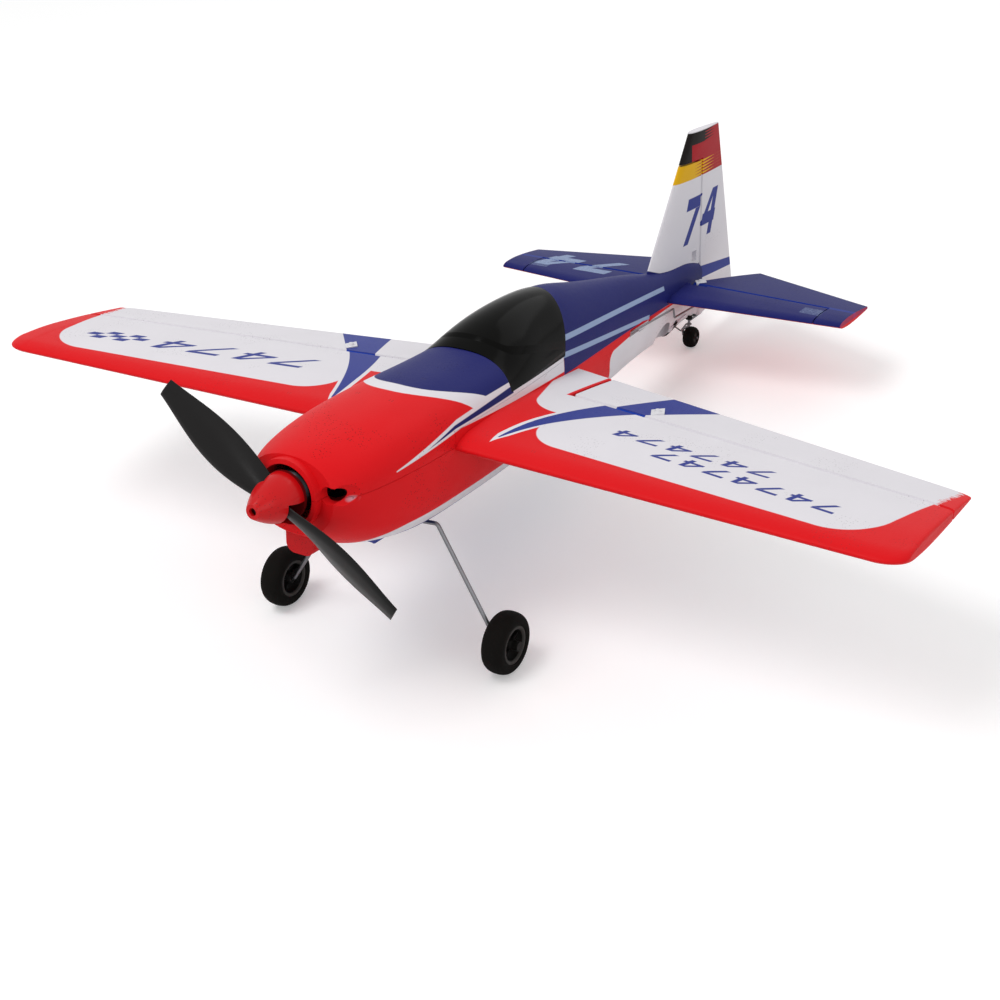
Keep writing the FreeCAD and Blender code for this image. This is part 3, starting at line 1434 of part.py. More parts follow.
board = box("board_sheet", ("-Sizes.board_width / 2", "Sizes.board_width / 2"),
            ("Sizes.board_front_y", "Sizes.board_front_y + Sizes.board_length"),
            ("Sizes.bed_top_z", "Sizes.bed_top_z + Sizes.board_thickness"))
chips = [box("board_chip_%d" % index, ("%s * Sizes.chip_length - Sizes.chip_length / 2" % across,
                                       "%s * Sizes.chip_length + Sizes.chip_length / 4" % across),
             ("Sizes.board_front_y + %s * Sizes.chip_length" % back,
              "Sizes.board_front_y + %s * Sizes.chip_length + Sizes.chip_length" % back),
             ("Sizes.bed_top_z + Sizes.board_thickness / 2",
              "Sizes.bed_top_z + Sizes.board_thickness + Sizes.chip_height"))
         for index, (across, back) in enumerate((("-0.5", "0.4"), ("0.6", "0.5"), ("0.1", "1.9")))]
subpart("control_board", fuse("control_board", [board] + chips))

# Servos with their arms.
tray_low = "Sizes.tailplane_z + Sizes.elevator_rod_drop - Sizes.servo_width / 2 - Sizes.servo_tray_thickness"
tray_board = box("servo_tray_board", ("-Sizes.servo_tray_half_width", "Sizes.servo_tray_half_width"),
                 ("Sizes.servo_tray_front_y", "Sizes.servo_tray_rear_y"),
                 (tray_low, tray_low + " + Sizes.servo_tray_thickness"))
tray_slot = box("servo_tray_slot",
                ("Sizes.elevator_horn_x - 1.6", "Sizes.elevator_horn_x + Sizes.rod_offset + 1.4"),
                ("Sizes.elevator_servo_y - Sizes.horn_arm / 2 - 2.4", "Sizes.servo_tray_rear_y + 1"),
                (tray_low + " - 1", tray_low + " + Sizes.servo_tray_thickness + 1"))
tray_trim = feature("servo_tray_trim", hull(-wall - glue, inner=True))
subpart("servo_tray", common("servo_tray", cut("servo_tray_cut", tray_board, [tray_slot]), tray_trim))
subpart("elevator_servo", feature("elevator_servo", servo_solid()), elevator_servo_place)
subpart("rudder_servo", feature("rudder_servo", servo_solid()), rudder_servo_place)
subpart("elevator_servo_arm", feature("elevator_servo_arm", arm_solid()), elevator_servo_place)
subpart("rudder_servo_arm", feature("rudder_servo_arm", arm_solid()), rudder_servo_place)
port_servo = subpart("aileron_servo_port", feature("aileron_servo_port", servo_solid()), aileron_servo_place)
subpart("aileron_servo_starboard", mirrored("aileron_servo_starboard", port_servo), "mirror")
port_arm = feature("aileron_servo_arm_port", arm_solid())
port_arm = subpart("aileron_servo_arm_port", port_arm, aileron_servo_place)
subpart("aileron_servo_arm_starboard", mirrored("aileron_servo_arm_starboard", port_arm), "mirror")


# Push-rods: steel wire with an end bent through the servo arm and another through the horn.

def elevator_rod():
    inner = size("elevator_horn_x") - 1.1
    step = size("elevator_rod_step_y")
    low = size("tailplane_z") - size("horn_arm")
    front = size("elevator_servo_y")
    rear = size("elevator_hinge_y")
    x = elevator_rod_x
    return bent_wire([Vector(inner, front, elevator_rod_z), Vector(x, front, elevator_rod_z),
                      Vector(x, step, elevator_rod_z), Vector(x, step + 1.4, low), Vector(x, rear, low),
                      Vector(inner, rear, low)], size("rod_radius"), size("rod_bend"))


rudder_horn_pin = rudder_line.point(rudder_horn_along, 0, -size("horn_arm"))


def rudder_rod():
    front = size("rudder_servo_y")
    high = size("bed_top_z") + arm_plane + 1.1
    low = rudder_rod_z
    x = rudder_rod_x
    rear = rudder_line.point(rudder_horn_along, 0, 0).y
    route = [Vector(x, front, high), Vector(x, front, low), Vector(x, rear, low), Vector(x, rear, high)]
    return bent_wire(route, size("rod_radius"), size("rod_bend"))


def aileron_rod():
    plane = size("aileron_horn_along")
    low = -size("horn_arm")
    ahead = -size("aileron_servo_ahead")
    outer = plane + size("rod_offset")
    inner = plane - 1.1
    points = [aileron_hinge.point(inner, ahead, low), aileron_hinge.point(outer, ahead, low),
              aileron_hinge.point(outer, 0, low), aileron_hinge.point(inner, 0, low)]
    return bent_wire(points, size("rod_radius"), size("rod_bend"))


subpart("elevator_pushrod", feature("elevator_pushrod", elevator_rod()))
subpart("rudder_pushrod", feature("rudder_pushrod", rudder_rod()))
port_rod = subpart("aileron_pushrod_port", feature("aileron_pushrod_port", aileron_rod()))
subpart("aileron_pushrod_starboard", mirrored("aileron_pushrod_starboard", port_rod), "mirror")

# Wing.
port_panel = subpart("wing_panel_port", feature("wing_panel_port", wing_panel()))
subpart("wing_panel_starboard", mirrored("wing_panel_starboard", port_panel), "mirror")
port_aileron = subpart("aileron_port", feature("aileron_port", aileron()))
subpart("aileron_starboard", mirrored("aileron_starboard", port_aileron), "mirror")
spar_tube = cylinder("wing_spar_tube", "x", "Sizes.spar_radius",
                     ("-Sizes.spar_half_length", "Sizes.spar_y", "0"), "2 * Sizes.spar_half_length")
spar_bore = cylinder("wing_spar_bore", "x", "Sizes.spar_bore",
                     ("-Sizes.spar_half_length - 1", "Sizes.spar_y", "0"), "2 * Sizes.spar_half_length + 2")
subpart("wing_spar", cut("wing_spar", spar_tube, [spar_bore]), Placement(Vector(0, 0, spar_z()), Rotation()))
port_horn = subpart("aileron_horn_port", feature("aileron_horn_port", control_horn(
    aileron_hinge, aileron_horn_at, size("aileron_horn_aft"), aileron_base_up, size("horn_hole_radius"))))
subpart("aileron_horn_starboard", mirrored("aileron_horn_starboard", port_horn), "mirror")

# Tail.
subpart("stabiliser", feature("stabiliser", stabiliser_shape))
port_elevator = subpart("elevator_port", feature("elevator_port", elevator_half()))


def plain_elevator_half():
    """The starboard elevator has no horn, so its slot is filled."""
    filler = horn_room(elevator_line, size("elevator_horn_x"), size("elevator_horn_aft"), elevator_base_up)
    filler = filler.common(tail_port_whole)
    zone = elevator_line.moving_zone(size("elevator_inner_x"), size("elevator_balance_x"))
    patch = filler.common(zone).cut(elevator_line.rod(size("joiner_radius"), 0, size("joiner_half_length")))
    return elevator_half().fuse(patch).removeSplitter().mirror(Vector(), Vector(1, 0, 0))


subpart("elevator_starboard", feature("elevator_starboard", plain_elevator_half()))
subpart("elevator_joiner", turned("elevator_joiner", [
    ("-Sizes.joiner_half_length", "0"),
    ("-Sizes.joiner_half_length", "Sizes.joiner_radius"),
    ("Sizes.joiner_half_length", "Sizes.joiner_radius"),
    ("Sizes.joiner_half_length", "0")], "H_Axis"),
    Placement(Vector(0, size("elevator_hinge_y"), size("tailplane_z")), Rotation()))
subpart("elevator_horn", feature("elevator_horn", control_horn(
    elevator_line, size("elevator_horn_x"), size("elevator_horn_aft"), elevator_base_up,
    size("horn_hole_radius"))))
subpart("tail_fin", feature("tail_fin", fin()))
subpart("rudder", feature("rudder", rudder()))
subpart("rudder_horn", feature("rudder_horn", control_horn(
    rudder_line, rudder_horn_along, size("rudder_horn_aft"), rudder_base_up, size("open_hole_radius"))))


def surface_hinges():
    shapes = [pin_hinge(aileron_hinge, at) for at in aileron_hinge_places]
    shapes += [pin_hinge(elevator_line, at) for at in elevator_hinge_places]
    shapes += [shape.mirror(Vector(), Vector(1, 0, 0)) for shape in shapes]
    shapes += [pin_hinge(rudder_line, at) for at in rudder_hinge_places]
    return Part.makeCompound(shapes)


subpart("surface_hinges", feature("surface_hinges", surface_hinges()))

# Main undercarriage.
subpart("gear_block", feature("gear_block", gear_block()))
port_leg = subpart("gear_leg_port", feature("gear_leg_port", leg_port_shape))
subpart("gear_leg_starboard", mirrored("gear_leg_starboard", port_leg), "mirror")


def wheel_pieces(side, sign):
    bevel_radius = "Sizes.tyre_radius - Sizes.tyre_shoulder * 0.3"
    tyre = turned("main_tyre_" + side, [
        ("-Sizes.rim_half_width", "Sizes.rim_radius"),
        ("-Sizes.tyre_half_width", "Sizes.rim_radius + 1.0"),
        ("-Sizes.tyre_half_width", "Sizes.tyre_radius - Sizes.tyre_shoulder"),
        ("-Sizes.tyre_half_width + Sizes.tyre_shoulder * 0.3", bevel_radius),
        ("-Sizes.tyre_half_width + Sizes.tyre_shoulder", "Sizes.tyre_radius"),
        ("Sizes.tyre_half_width - Sizes.tyre_shoulder", "Sizes.tyre_radius"),
        ("Sizes.tyre_half_width - Sizes.tyre_shoulder * 0.3", bevel_radius),
        ("Sizes.tyre_half_width", "Sizes.tyre_radius - Sizes.tyre_shoulder"),
        ("Sizes.tyre_half_width", "Sizes.rim_radius + 1.0"),
        ("Sizes.rim_half_width", "Sizes.rim_radius")], "H_Axis")
    hub = turned("main_hub_" + side, [
        ("-Sizes.boss_half_width", "Sizes.leg_radius + Sizes.running_gap"),
        ("-Sizes.boss_half_width", "Sizes.boss_radius"),
        ("-Sizes.web_half_width", "Sizes.boss_radius"),
        ("-Sizes.web_half_width", "Sizes.rim_radius - Sizes.rim_lip"),
        ("-Sizes.rim_half_width", "Sizes.rim_radius - Sizes.rim_lip"),
        ("-Sizes.rim_half_width", "Sizes.rim_radius"),
        ("Sizes.rim_half_width", "Sizes.rim_radius"),
        ("Sizes.rim_half_width", "Sizes.rim_radius - Sizes.rim_lip"),
        ("Sizes.web_half_width", "Sizes.rim_radius - Sizes.rim_lip"),
        ("Sizes.web_half_width", "Sizes.boss_radius"),
        ("Sizes.boss_half_width", "Sizes.boss_radius"),
        ("Sizes.boss_half_width", "Sizes.leg_radius + Sizes.running_gap")], "H_Axis")
    centre = Placement(Vector(sign * size("wheel_x"), size("wheel_y"), size("wheel_z")), Rotation())
    subpart("main_tyre_" + side, tyre, centre)
    subpart("main_hub_" + side, hub, centre)


wheel_pieces("port", 1)
wheel_pieces("starboard", -1)


def wheel_collars():
    start = size("wheel_x") + size("boss_half_width") + seam
    outer = Part.makeCylinder(size("collar_radius"), size("collar_length") + 0.6,
                              Vector(start, size("wheel_y"), size("wheel_z")), Vector(1, 0, 0))
    collar = outer.cut(leg_port_shape)
    return Part.makeCompound([collar, collar.mirror(Vector(), Vector(1, 0, 0))])


subpart("wheel_collars", feature("wheel_collars", wheel_collars()))


# Tail wheel: a bearing plate under the stern, a cranked wire post with a tiller, and its brace.

def tail_plate():
    outer = hull(size("plate_thickness")).cut(snug_hull)
    shape = outer.common(block((-beyond, beyond), (size("plate_front_y"), size("stern_station") - 0.2),
                               (-beyond, size("plate_top_z"))))
    trim = side_prism([(size("plate_rear_y") - 4, size("plate_top_z") + 1), (size("plate_rear_y"), -22.6),
                       (8 * beyond, -22.6), (8 * beyond, size("plate_top_z") + 1)], beyond)
    shape = shape.cut(trim)
    tube = post_tube(size("bearing_radius"), size("bearing_bottom_z"), bearing_top_z())
    shape = shape.fuse(tube).cut(post_tube(size("post_radius") + running, -2 * beyond, bearing_top_z() - 0.6))
    foot = Part.makeCylinder(size("brace_radius"), 2,
                             Vector(size("brace_side_x"), size("brace_foot_y"), -25.0))
    return shape.cut(foot)


def tail_post():
    tiller = on_post(size("tiller_z"))
    top = on_post(bearing_top_z() - 0.8)
    knee = on_post(size("post_knee_z"))
    wheel_y = size("tail_wheel_y")
    side = size("post_side_x")
    wire = bent_wire([top, knee, Vector(side, (knee.y + wheel_y) / 2, size("post_side_z")),
                      Vector(side, wheel_y, size("tail_wheel_z")),
                      Vector(size("axle_end_x"), wheel_y, size("tail_wheel_z"))],
                     size("post_radius"), 0.9)
    end = tiller + rudder_line.aft * size("tiller_length")
    pin_top = end + rudder_line.along * size("tiller_pin_height")
    arm = bent_wire([tiller, end, pin_top], size("tiller_radius"), 0.9)
    return wire.fuse(arm)


def tail_brace():
    centre = on_post(size("brace_eye_z"))
    radius = size("brace_radius")
    hole = size("post_radius") + 0.08
    eye = Part.makeTorus(hole + radius, radius, centre, rudder_line.along)
    side = size("brace_side_x")
    low = Vector(side, centre.y - 7.0, centre.z - 2.2)
    ahead = Vector(side, centre.y - 1.0, centre.z)
    foot = Vector(side, size("brace_foot_y"), -24.0)
    wire = bent_wire([foot, low, ahead], radius, 0.8)
    return eye.fuse(wire).cut(post_tube(hole, -2 * beyond, 0)).removeSplitter()


subpart("tail_plate", feature("tail_plate", tail_plate()))
subpart("tail_post", feature("tail_post", tail_post()))
subpart("tail_brace", feature("tail_brace", tail_brace()))
tail_wheel = turned("tail_wheel", [
    ("-Sizes.tail_tyre_half_width + 0.3", "Sizes.post_radius + Sizes.running_gap"),
    ("-Sizes.tail_tyre_half_width + 0.3", "Sizes.tail_rim_radius"),
    ("-Sizes.tail_tyre_half_width", "Sizes.tail_rim_radius + 0.4"),
    ("-Sizes.tail_tyre_half_width", "Sizes.tail_tyre_radius - 1.9"),
    ("-Sizes.tail_tyre_half_width + 0.6", "Sizes.tail_tyre_radius - 0.6"),
    ("-Sizes.tail_tyre_half_width + 1.9", "Sizes.tail_tyre_radius"),
    ("Sizes.tail_tyre_half_width - 1.9", "Sizes.tail_tyre_radius"),
    ("Sizes.tail_tyre_half_width - 0.6", "Sizes.tail_tyre_radius - 0.6"),
    ("Sizes.tail_tyre_half_width", "Sizes.tail_tyre_radius - 1.9"),
    ("Sizes.tail_tyre_half_width", "Sizes.tail_rim_radius + 0.4"),
    ("Sizes.tail_tyre_half_width - 0.3", "Sizes.tail_rim_radius"),
    ("Sizes.tail_tyre_half_width - 0.3", "Sizes.post_radius + Sizes.running_gap")], "H_Axis")
tail_axle = Vector(0, size("tail_wheel_y"), size("tail_wheel_z"))
subpart("tail_wheel", tail_wheel, Placement(tail_axle, Rotation()))

doc.recompute()


# Standing attitude: the nose is raised until the tail wheel and the main wheels share one floor.

def stance():
    run = size("tail_wheel_y") - size("wheel_y")
    rise = size("tail_wheel_z") - size("wheel_z")
    radii = size("tyre_radius") - size("tail_tyre_radius")
    span = math.hypot(run, rise)
    pitch = math.atan2(rise, run) + math.asin(radii / span)
    turn = Rotation(Vector(1, 0, 0), -math.degrees(pitch))
    upright = Placement(Vector(), turn)
    bounds = FreeCAD.BoundBox()
    for label, solid, local in subparts:
        if local == "mirror":
            continue
        shape = solid.Shape.copy()
        shape.Placement = upright.multiply(local).multiply(solid.Placement)
        bounds.add(shape.BoundBox)
    middle = (bounds.YMin + bounds.YMax) / 2
    return Placement(Vector(0, -middle, -bounds.ZMin), turn)


standing = stance()
for label, solid, local in subparts:
    if local != "mirror":
        solid.Placement = standing.multiply(local).multiply(solid.Placement)
doc.recompute()

faults = []
for item in doc.Objects:
    if "Invalid" in item.State or "Error" in item.State:
        faults.append("%s is %s" % (item.Name, item.State))
for label, solid, local in subparts:
    if solid.Shape.isNull() or not solid.Shape.isValid():
        faults.append(label + " has no valid shape")
    elif not solid.Shape.Solids:
        faults.append(label + " holds no solid")
if faults:
    raise RuntimeError("; ".join(faults))

os.makedirs("parts", exist_ok=True)
for label, solid, local in subparts:
    solid.Shape.exportStep("parts/" + label + ".step")
    count = len(solid.Shape.Solids)
    print("%-28s %2d solid(s) %10.1f mm3" % (label, count, solid.Shape.Volume))
print(len(subparts), "sub-parts; standing pitch", round(math.degrees(standing.Rotation.Angle), 3))
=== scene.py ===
import bmesh
import bpy
import json
import math
from mathutils import Matrix, Vector

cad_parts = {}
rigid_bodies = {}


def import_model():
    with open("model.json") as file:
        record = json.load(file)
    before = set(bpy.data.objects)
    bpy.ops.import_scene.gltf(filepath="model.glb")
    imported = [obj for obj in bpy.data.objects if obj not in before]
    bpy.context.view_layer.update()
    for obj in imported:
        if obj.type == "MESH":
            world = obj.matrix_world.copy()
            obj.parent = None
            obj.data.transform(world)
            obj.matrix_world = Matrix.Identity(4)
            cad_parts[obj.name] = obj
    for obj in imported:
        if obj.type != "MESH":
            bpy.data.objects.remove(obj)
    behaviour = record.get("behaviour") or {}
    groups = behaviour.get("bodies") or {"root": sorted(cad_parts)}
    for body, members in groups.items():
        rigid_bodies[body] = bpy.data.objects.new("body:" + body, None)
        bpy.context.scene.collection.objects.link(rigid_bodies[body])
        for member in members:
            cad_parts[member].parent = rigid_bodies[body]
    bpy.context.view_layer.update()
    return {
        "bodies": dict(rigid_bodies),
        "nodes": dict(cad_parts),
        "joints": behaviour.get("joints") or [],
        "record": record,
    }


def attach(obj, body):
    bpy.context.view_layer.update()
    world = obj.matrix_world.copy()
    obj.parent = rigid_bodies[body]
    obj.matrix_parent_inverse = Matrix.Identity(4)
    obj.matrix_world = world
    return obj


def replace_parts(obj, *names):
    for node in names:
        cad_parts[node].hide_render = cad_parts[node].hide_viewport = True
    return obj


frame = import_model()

nodes = frame["nodes"]
joints = {joint["name"]: joint for joint in frame["joints"]}

# The model stands nose up. Paint and pieces are laid out in its flying frame, in
# millimetres: x to the port tip, y aft, z up, from the middle of the propeller.
flyingOrigin = Vector(joints["propeller_spin"]["pos_m"])
aftAxis = Vector(joints["propeller_spin"]["axis"])
nosePitch = -math.atan2(-aftAxis.z, aftAxis.y)


# Paint written as sums.

def linear(colour):
    channels = [int(colour[place:place + 2], 16) / 255 for place in (1, 3, 5)]
    return [c / 12.92 if c <= 0.04045 else ((c + 0.055) / 1.055) ** 2.4 for c in channels] + [1.0]


foamLook = {"beadScale": 0.42, "grainScale": 1.9, "pitScale": 0.85, "pitSize": 0.20,
            "pitPatchScale": 0.045, "reliefDepth": 0.00020, "roughness": 0.36, "specular": 0.07}


class Wire:
    # one socket of a material's nodes, so that masks read as plain sums
    def __init__(self, tree, socket):
        self.tree = tree
        self.socket = socket

    def node(self, kind, inputs, output=0, **settings):
        made = self.tree.nodes.new(kind)
        for name, value in settings.items():
            setattr(made, name, value)
        for key, value in (inputs.items() if isinstance(inputs, dict) else enumerate(inputs)):
            if isinstance(value, Wire):
                self.tree.links.new(value.socket, made.inputs[key])
            else:
                made.inputs[key].default_value = value
        return Wire(self.tree, made.outputs[output])

    def math(self, operation, *others):
        return self.node("ShaderNodeMath", (self,) + others, operation=operation)

    def __add__(self, other):
        return self.math("ADD", other)

    def __sub__(self, other):
        return self.math("SUBTRACT", other)

    def __mul__(self, other):
        return self.math("MULTIPLY", other)

    def __truediv__(self, other):
        return self.math("DIVIDE", other)

    def __pow__(self, other):
        return self.math("POWER", other)

    def __neg__(self):
        return self * -1

    def __rsub__(self, other):
        return self * -1 + other

    __radd__ = __add__
    __rmul__ = __mul__

    def __abs__(self):
        return self.math("ABSOLUTE")

    def least(self, other):
        return self.math("MINIMUM", other)

    def most(self, other):
        return self.math("MAXIMUM", other)

    def over(self, edge=0.0, soft=0.22):
        # 1 where this is above the edge, with a painted edge as soft as given
        step = (self - edge) / soft + 0.5
        return step.math("MINIMUM", 1.0).math("MAXIMUM", 0.0)

    def between(self, low, high, soft=0.22):
        return self.over(low, soft) * (1 - self.over(high, soft))


def rounded(first, second, radius):
    # distance inside a corner of two edges, rounded off
    reach = (radius - first).most(0.0) ** 2.0 + (radius - second).most(0.0) ** 2.0
    return radius - reach.math("SQRT")


def polygon(points, across, along):
    # inside of a convex outline given anticlockwise
    inside = None
    for (ax, ay), (bx, by) in zip(points, points[1:] + points[:1]):
        length = math.hypot(bx - ax, by - ay)
        edge = (along - ay) * ((bx - ax) / length) - (across - ax) * ((by - ay) / length)
        inside = edge if inside is None else inside.least(edge)
    return inside


class Finish:
    # a material with its coordinates in the flying frame
    def __init__(self, name, roughness=0.45, **shader):
        self.material = bpy.data.materials.new(name)
        self.material.use_nodes = True
        self.tree = self.material.node_tree
        self.tree.nodes.clear()
        self.shader = self.tree.nodes.new("ShaderNodeBsdfPrincipled")
        output = self.tree.nodes.new("ShaderNodeOutputMaterial")
        self.tree.links.new(self.shader.outputs[0], output.inputs[0])
        self.shader.inputs["Roughness"].default_value = roughness
        self.shader.inputs["Specular IOR Level"].default_value = foamLook["specular"]
        for key, value in shader.items():
            self.shader.inputs[key.replace("_", " ")].default_value = value
        objectPlace = Wire(self.tree, self.tree.nodes.new("ShaderNodeTexCoord").outputs["Object"])
        self.place = objectPlace.node("ShaderNodeMapping", {
            0: objectPlace, 1: flyingOrigin, 2: (nosePitch, 0, 0), 3: (0.001, 0.001, 0.001)},
            vector_type="TEXTURE")
        self.x, self.y, self.z = [self.place.node("ShaderNodeSeparateXYZ", [self.place], output=axis)
                                  for axis in range(3)]

    def noise(self, scale, detail=2.0, rough=0.5, place=None):
        return self.x.node("ShaderNodeTexNoise", {"Vector": place or self.place, "Scale": scale,
                                                  "Detail": detail, "Roughness": rough})

    def cells(self, scale, feature="F1", output=0, place=None):
        return self.x.node("ShaderNodeTexVoronoi", {"Vector": place or self.place, "Scale": scale},
                           output=output, feature=feature)

    def mix(self, factor, under, over):
        return self.x.node("ShaderNodeMix", {0: factor, 6: under, 7: over}, output=2, data_type="RGBA")

    def paint(self, base, *coats):
        # coats are (mask, colour) laid one over the other
        colour = linear(base) if isinstance(base, str) else base
        for mask, coat in coats:
            colour = self.mix(mask, colour, linear(coat) if isinstance(coat, str) else coat)
        return colour

    def wear(self, colour, amount=0.10, scale=0.05):
        # slow uneven tone of hand-sprayed paint
        tone = (self.noise(scale, 3.0) - 0.5) * amount + 1.0
        colour = colour if isinstance(colour, Wire) else colour[:3]
        return self.x.node("ShaderNodeVectorMath", {0: colour, 1: tone}, operation="MULTIPLY")

    def set(self, key, value):
        target = self.shader.inputs[key]
        if isinstance(value, Wire):
            self.tree.links.new(value.socket, target)
        else:
            target.default_value = value

    def bump(self, height, strength, distance=0.0003):
        shaped = self.x.node("ShaderNodeBump",
                             {"Strength": strength, "Distance": distance, "Height": height})
        self.set("Normal", shaped)

    def foamSkin(self, strength=0.35, pips=()):
        # pressed bead foam: faint cell outlines, fine grain, stray pits and groups of moulding pips
        skin = foamLook
        cells = self.cells(skin["beadScale"], "DISTANCE_TO_EDGE").least(0.12) * 3.0
        grain = self.noise(skin["grainScale"], 3.0, 0.6)
        pitCells = self.cells(skin["pitScale"])
        pitPick = self.noise(skin["pitPatchScale"], 1.0).over(0.60, 0.04)
        pits = (1 - pitCells.over(skin["pitSize"], 0.05)) * pitPick
        height = cells * 0.45 + grain * 0.5 - pits * 1.2
        marks = None
        for mark in pips:
            marks = mark if marks is None else marks.most(mark)
        if marks is not None:
            height = height - marks * 2.0
        self.bump(height, strength, skin["reliefDepth"])
        self.set("Roughness", grain * 0.16 + skin["roughness"] + pits * 0.15)
        return pits if marks is None else pits.most(marks)


def pipGroup(across, along, centre):
    # four small dots, as the moulding pins leave them
    dx = abs(across - centre[0]) - 0.62
    dy = abs(along - centre[1]) - 0.42
    return 1 - (dx * dx + dy * dy).math("SQRT").over(0.26, 0.14)


# The brighter hinge blue is a painted highlight along the hinge bevels of the ailerons and elevators.
schemeColours = {"red": "#D9161C", "deckBlue": "#1B1F62", "wingBlue": "#2F3A88", "hingeHighlightBlue": "#1040B0",
                 "white": "#DEDBE0", "paleStripe": "#93A5C6", "yellow": "#E2AE18", "flashRed": "#A81B25",
                 "flashBlack": "#1C1817"}
ink = schemeColours


# Plain digits drawn from straight strokes.

def strokes(across, along, pieces):
    drawn = None
    for piece in pieces:
        mark = polygon(piece, across, along).over(0.0, 0.3)
        drawn = mark if drawn is None else drawn.most(mark)
    return drawn


def digitSeven(across, along, height, width, stroke):
    bar = height * stroke
    stem = width * stroke * 1.3
    return strokes(across, along, [
        [(0, height - bar), (width, height - bar), (width, height), (0, height)],
        [(width * 0.2, 0), (width * 0.2 + stem, 0), (width, height - bar), (width - stem, height - bar)]])


def digitFour(across, along, height, width, stroke):
    bar = height * stroke
    stem = width * stroke * 1.2
    return strokes(across, along, [
        [(width * 0.62, 0), (width * 0.62 + stem, 0),
         (width * 0.62 + stem, height), (width * 0.62, height)],
        [(0, height * 0.26), (width, height * 0.26),
         (width, height * 0.26 + bar), (0, height * 0.26 + bar)],
        [(0, height * 0.40), (stem, height * 0.40), (width * 0.76, height), (width * 0.50, height)]])


def numberRow(across, along, cells, pitch, height, lean=0.3, stroke=0.2):
    # sevens and fours by turns: across runs with the reading, along runs up the digits
    across = across - along * lean
    index = (across / pitch).math("FLOOR")
    place = across - index * pitch
    fours = index.math("PINGPONG", 1.0)
    width = pitch * 0.76
    drawn = digitSeven(place, along, height, width, stroke) * (1 - fours)
    drawn = drawn + digitFour(place, along, height, width, stroke) * fours
    return drawn * across.between(0.0, cells * pitch - 0.1, 0.05)


# Airframe paint.

def sternTab(f):
    # small dark arch over the tail wheel's bearing plate
    return 1 - (((f.y - 325.0) / 3.6) ** 2.0 + ((f.z + 20.8) / 3.2) ** 2.0).over(1.0, 0.1)


def hullPaint():
    f = Finish("hullPaint")
    x, y, z = f.x, f.y, f.z
    side = abs(x)
    bandFront = 69.6 + (side / 25.3) ** 2.6 * 24.6
    deckFront = 77.0 + (side / 24.1) ** 3.2 * 28.0
    stripeTop = (3.9 + (y - 40) * 0.157).least(10.2 + (y - 77) * 0.041)
    stripeLow = (3.3 + (y - 40) * 0.076).least(6.5 - (y - 84) * 0.0535)
    blueTop = (5.4 + (y - 58) * 0.16).least(8.7 + (y - 78) * 0.041)
    blueLow = (5.4 + (y - 58) * 0.095).least(7.4 + (y - 78) * 0.006)
    fore = 1 - y.over(176.3)
    onStripe = z.over(stripeLow, 0.3) * fore
    whiteTop = onStripe * (y - bandFront).over(0.0, 0.5)
    sideWhite = onStripe * (1 - (z - stripeTop).over(0.0, 0.3)) * y.over(38.0)
    deck = (y - deckFront).over(0.0, 0.4) * z.over(12.4) * fore
    sideBlue = (z - blueTop).over(0.0, 0.3)
    sideBlue = (1 - sideBlue) * (z - blueLow).over(0.0, 0.3) * y.over(58.0, 2.0) * (1 - y.over(126.5))
    bellyWhite = (-z - (23.4 + (50 - y).most(0.0) * 0.10)).over(0.0, 0.4) * y.over(25.0)
    bellyBlue = (-z - (29.3 + (50 - y).most(0.0) * 0.30)).over(0.0, 0.4)
    aft = y.over(176.5)
    wedgeTop = -0.6 - (y - 190) * 0.034
    aftBlue = aft * (z - wedgeTop).over(0.0, 0.35)
    upperStripe = aft * (z - (14.3 - (y - 180) * 0.081)).over(0.0)
    upperStripe = upperStripe * (1 - (z - (16.8 - (y - 180) * 0.083)).over(0.0))
    lowerStripe = aft * (z - (7.4 - (y - 178) * 0.1165)).over(0.0)
    lowerStripe = lowerStripe * (1 - (z - (9.9 - (y - 178) * 0.119)).over(0.0))
    pale = (upperStripe * (1 - y.over(303.3))).most(lowerStripe * (1 - y.over(283.0)))
    whiteEdge = -(z - (-7.0 + (y - 240) * 0.045))
    aftWhite = rounded(y - (230.0 - (z + 8) * 0.55), whiteEdge, 8.0).over(0.0, 0.4)
    tailRed = y.over(282.0) * (z - -6.2).over(0.0) * (1 - aftBlue)
    pips = [pipGroup(x, y, place) for place in ((12.5, 28.0), (-12.5, 28.0), (8.0, 62.0), (-8.0, 62.0),
                                                (6.0, 88.0), (-6.0, 88.0))]
    topOnly = z.over(6.0)
    pits = f.foamSkin(pips=[mark * topOnly for mark in pips])
    # Pale pink inside the inlet scoop: partly the bare foam of its inner wall, partly a painted highlight
    # beside the hole.
    scoop = ((y - 16.2) / 3.6) ** 2.0 + ((z + 0.8) / 1.9) ** 2.0
    scoop = (1 - scoop.over(0.3, 0.8)) * (19.1 + (y - 8) * 0.44 - side).over(0.0, 0.4) * y.over(8.2, 0.3)
    colour = f.paint(ink["red"], (scoop, "#C79BA8"),
                     (bellyWhite, ink["white"]), (bellyBlue, ink["wingBlue"]),
                     (whiteTop, ink["white"]), (sideWhite, ink["white"]), (deck, ink["deckBlue"]),
                     (sideBlue, ink["deckBlue"]), (aftWhite, ink["white"]), (tailRed, ink["red"]),
                     (aftBlue, ink["deckBlue"]), (pale, ink["paleStripe"]),
                     (sternTab(f), "#171615"), (pits * 0.55, "#1A0E10"))
    f.set("Base Color", f.wear(colour))
    return f.material


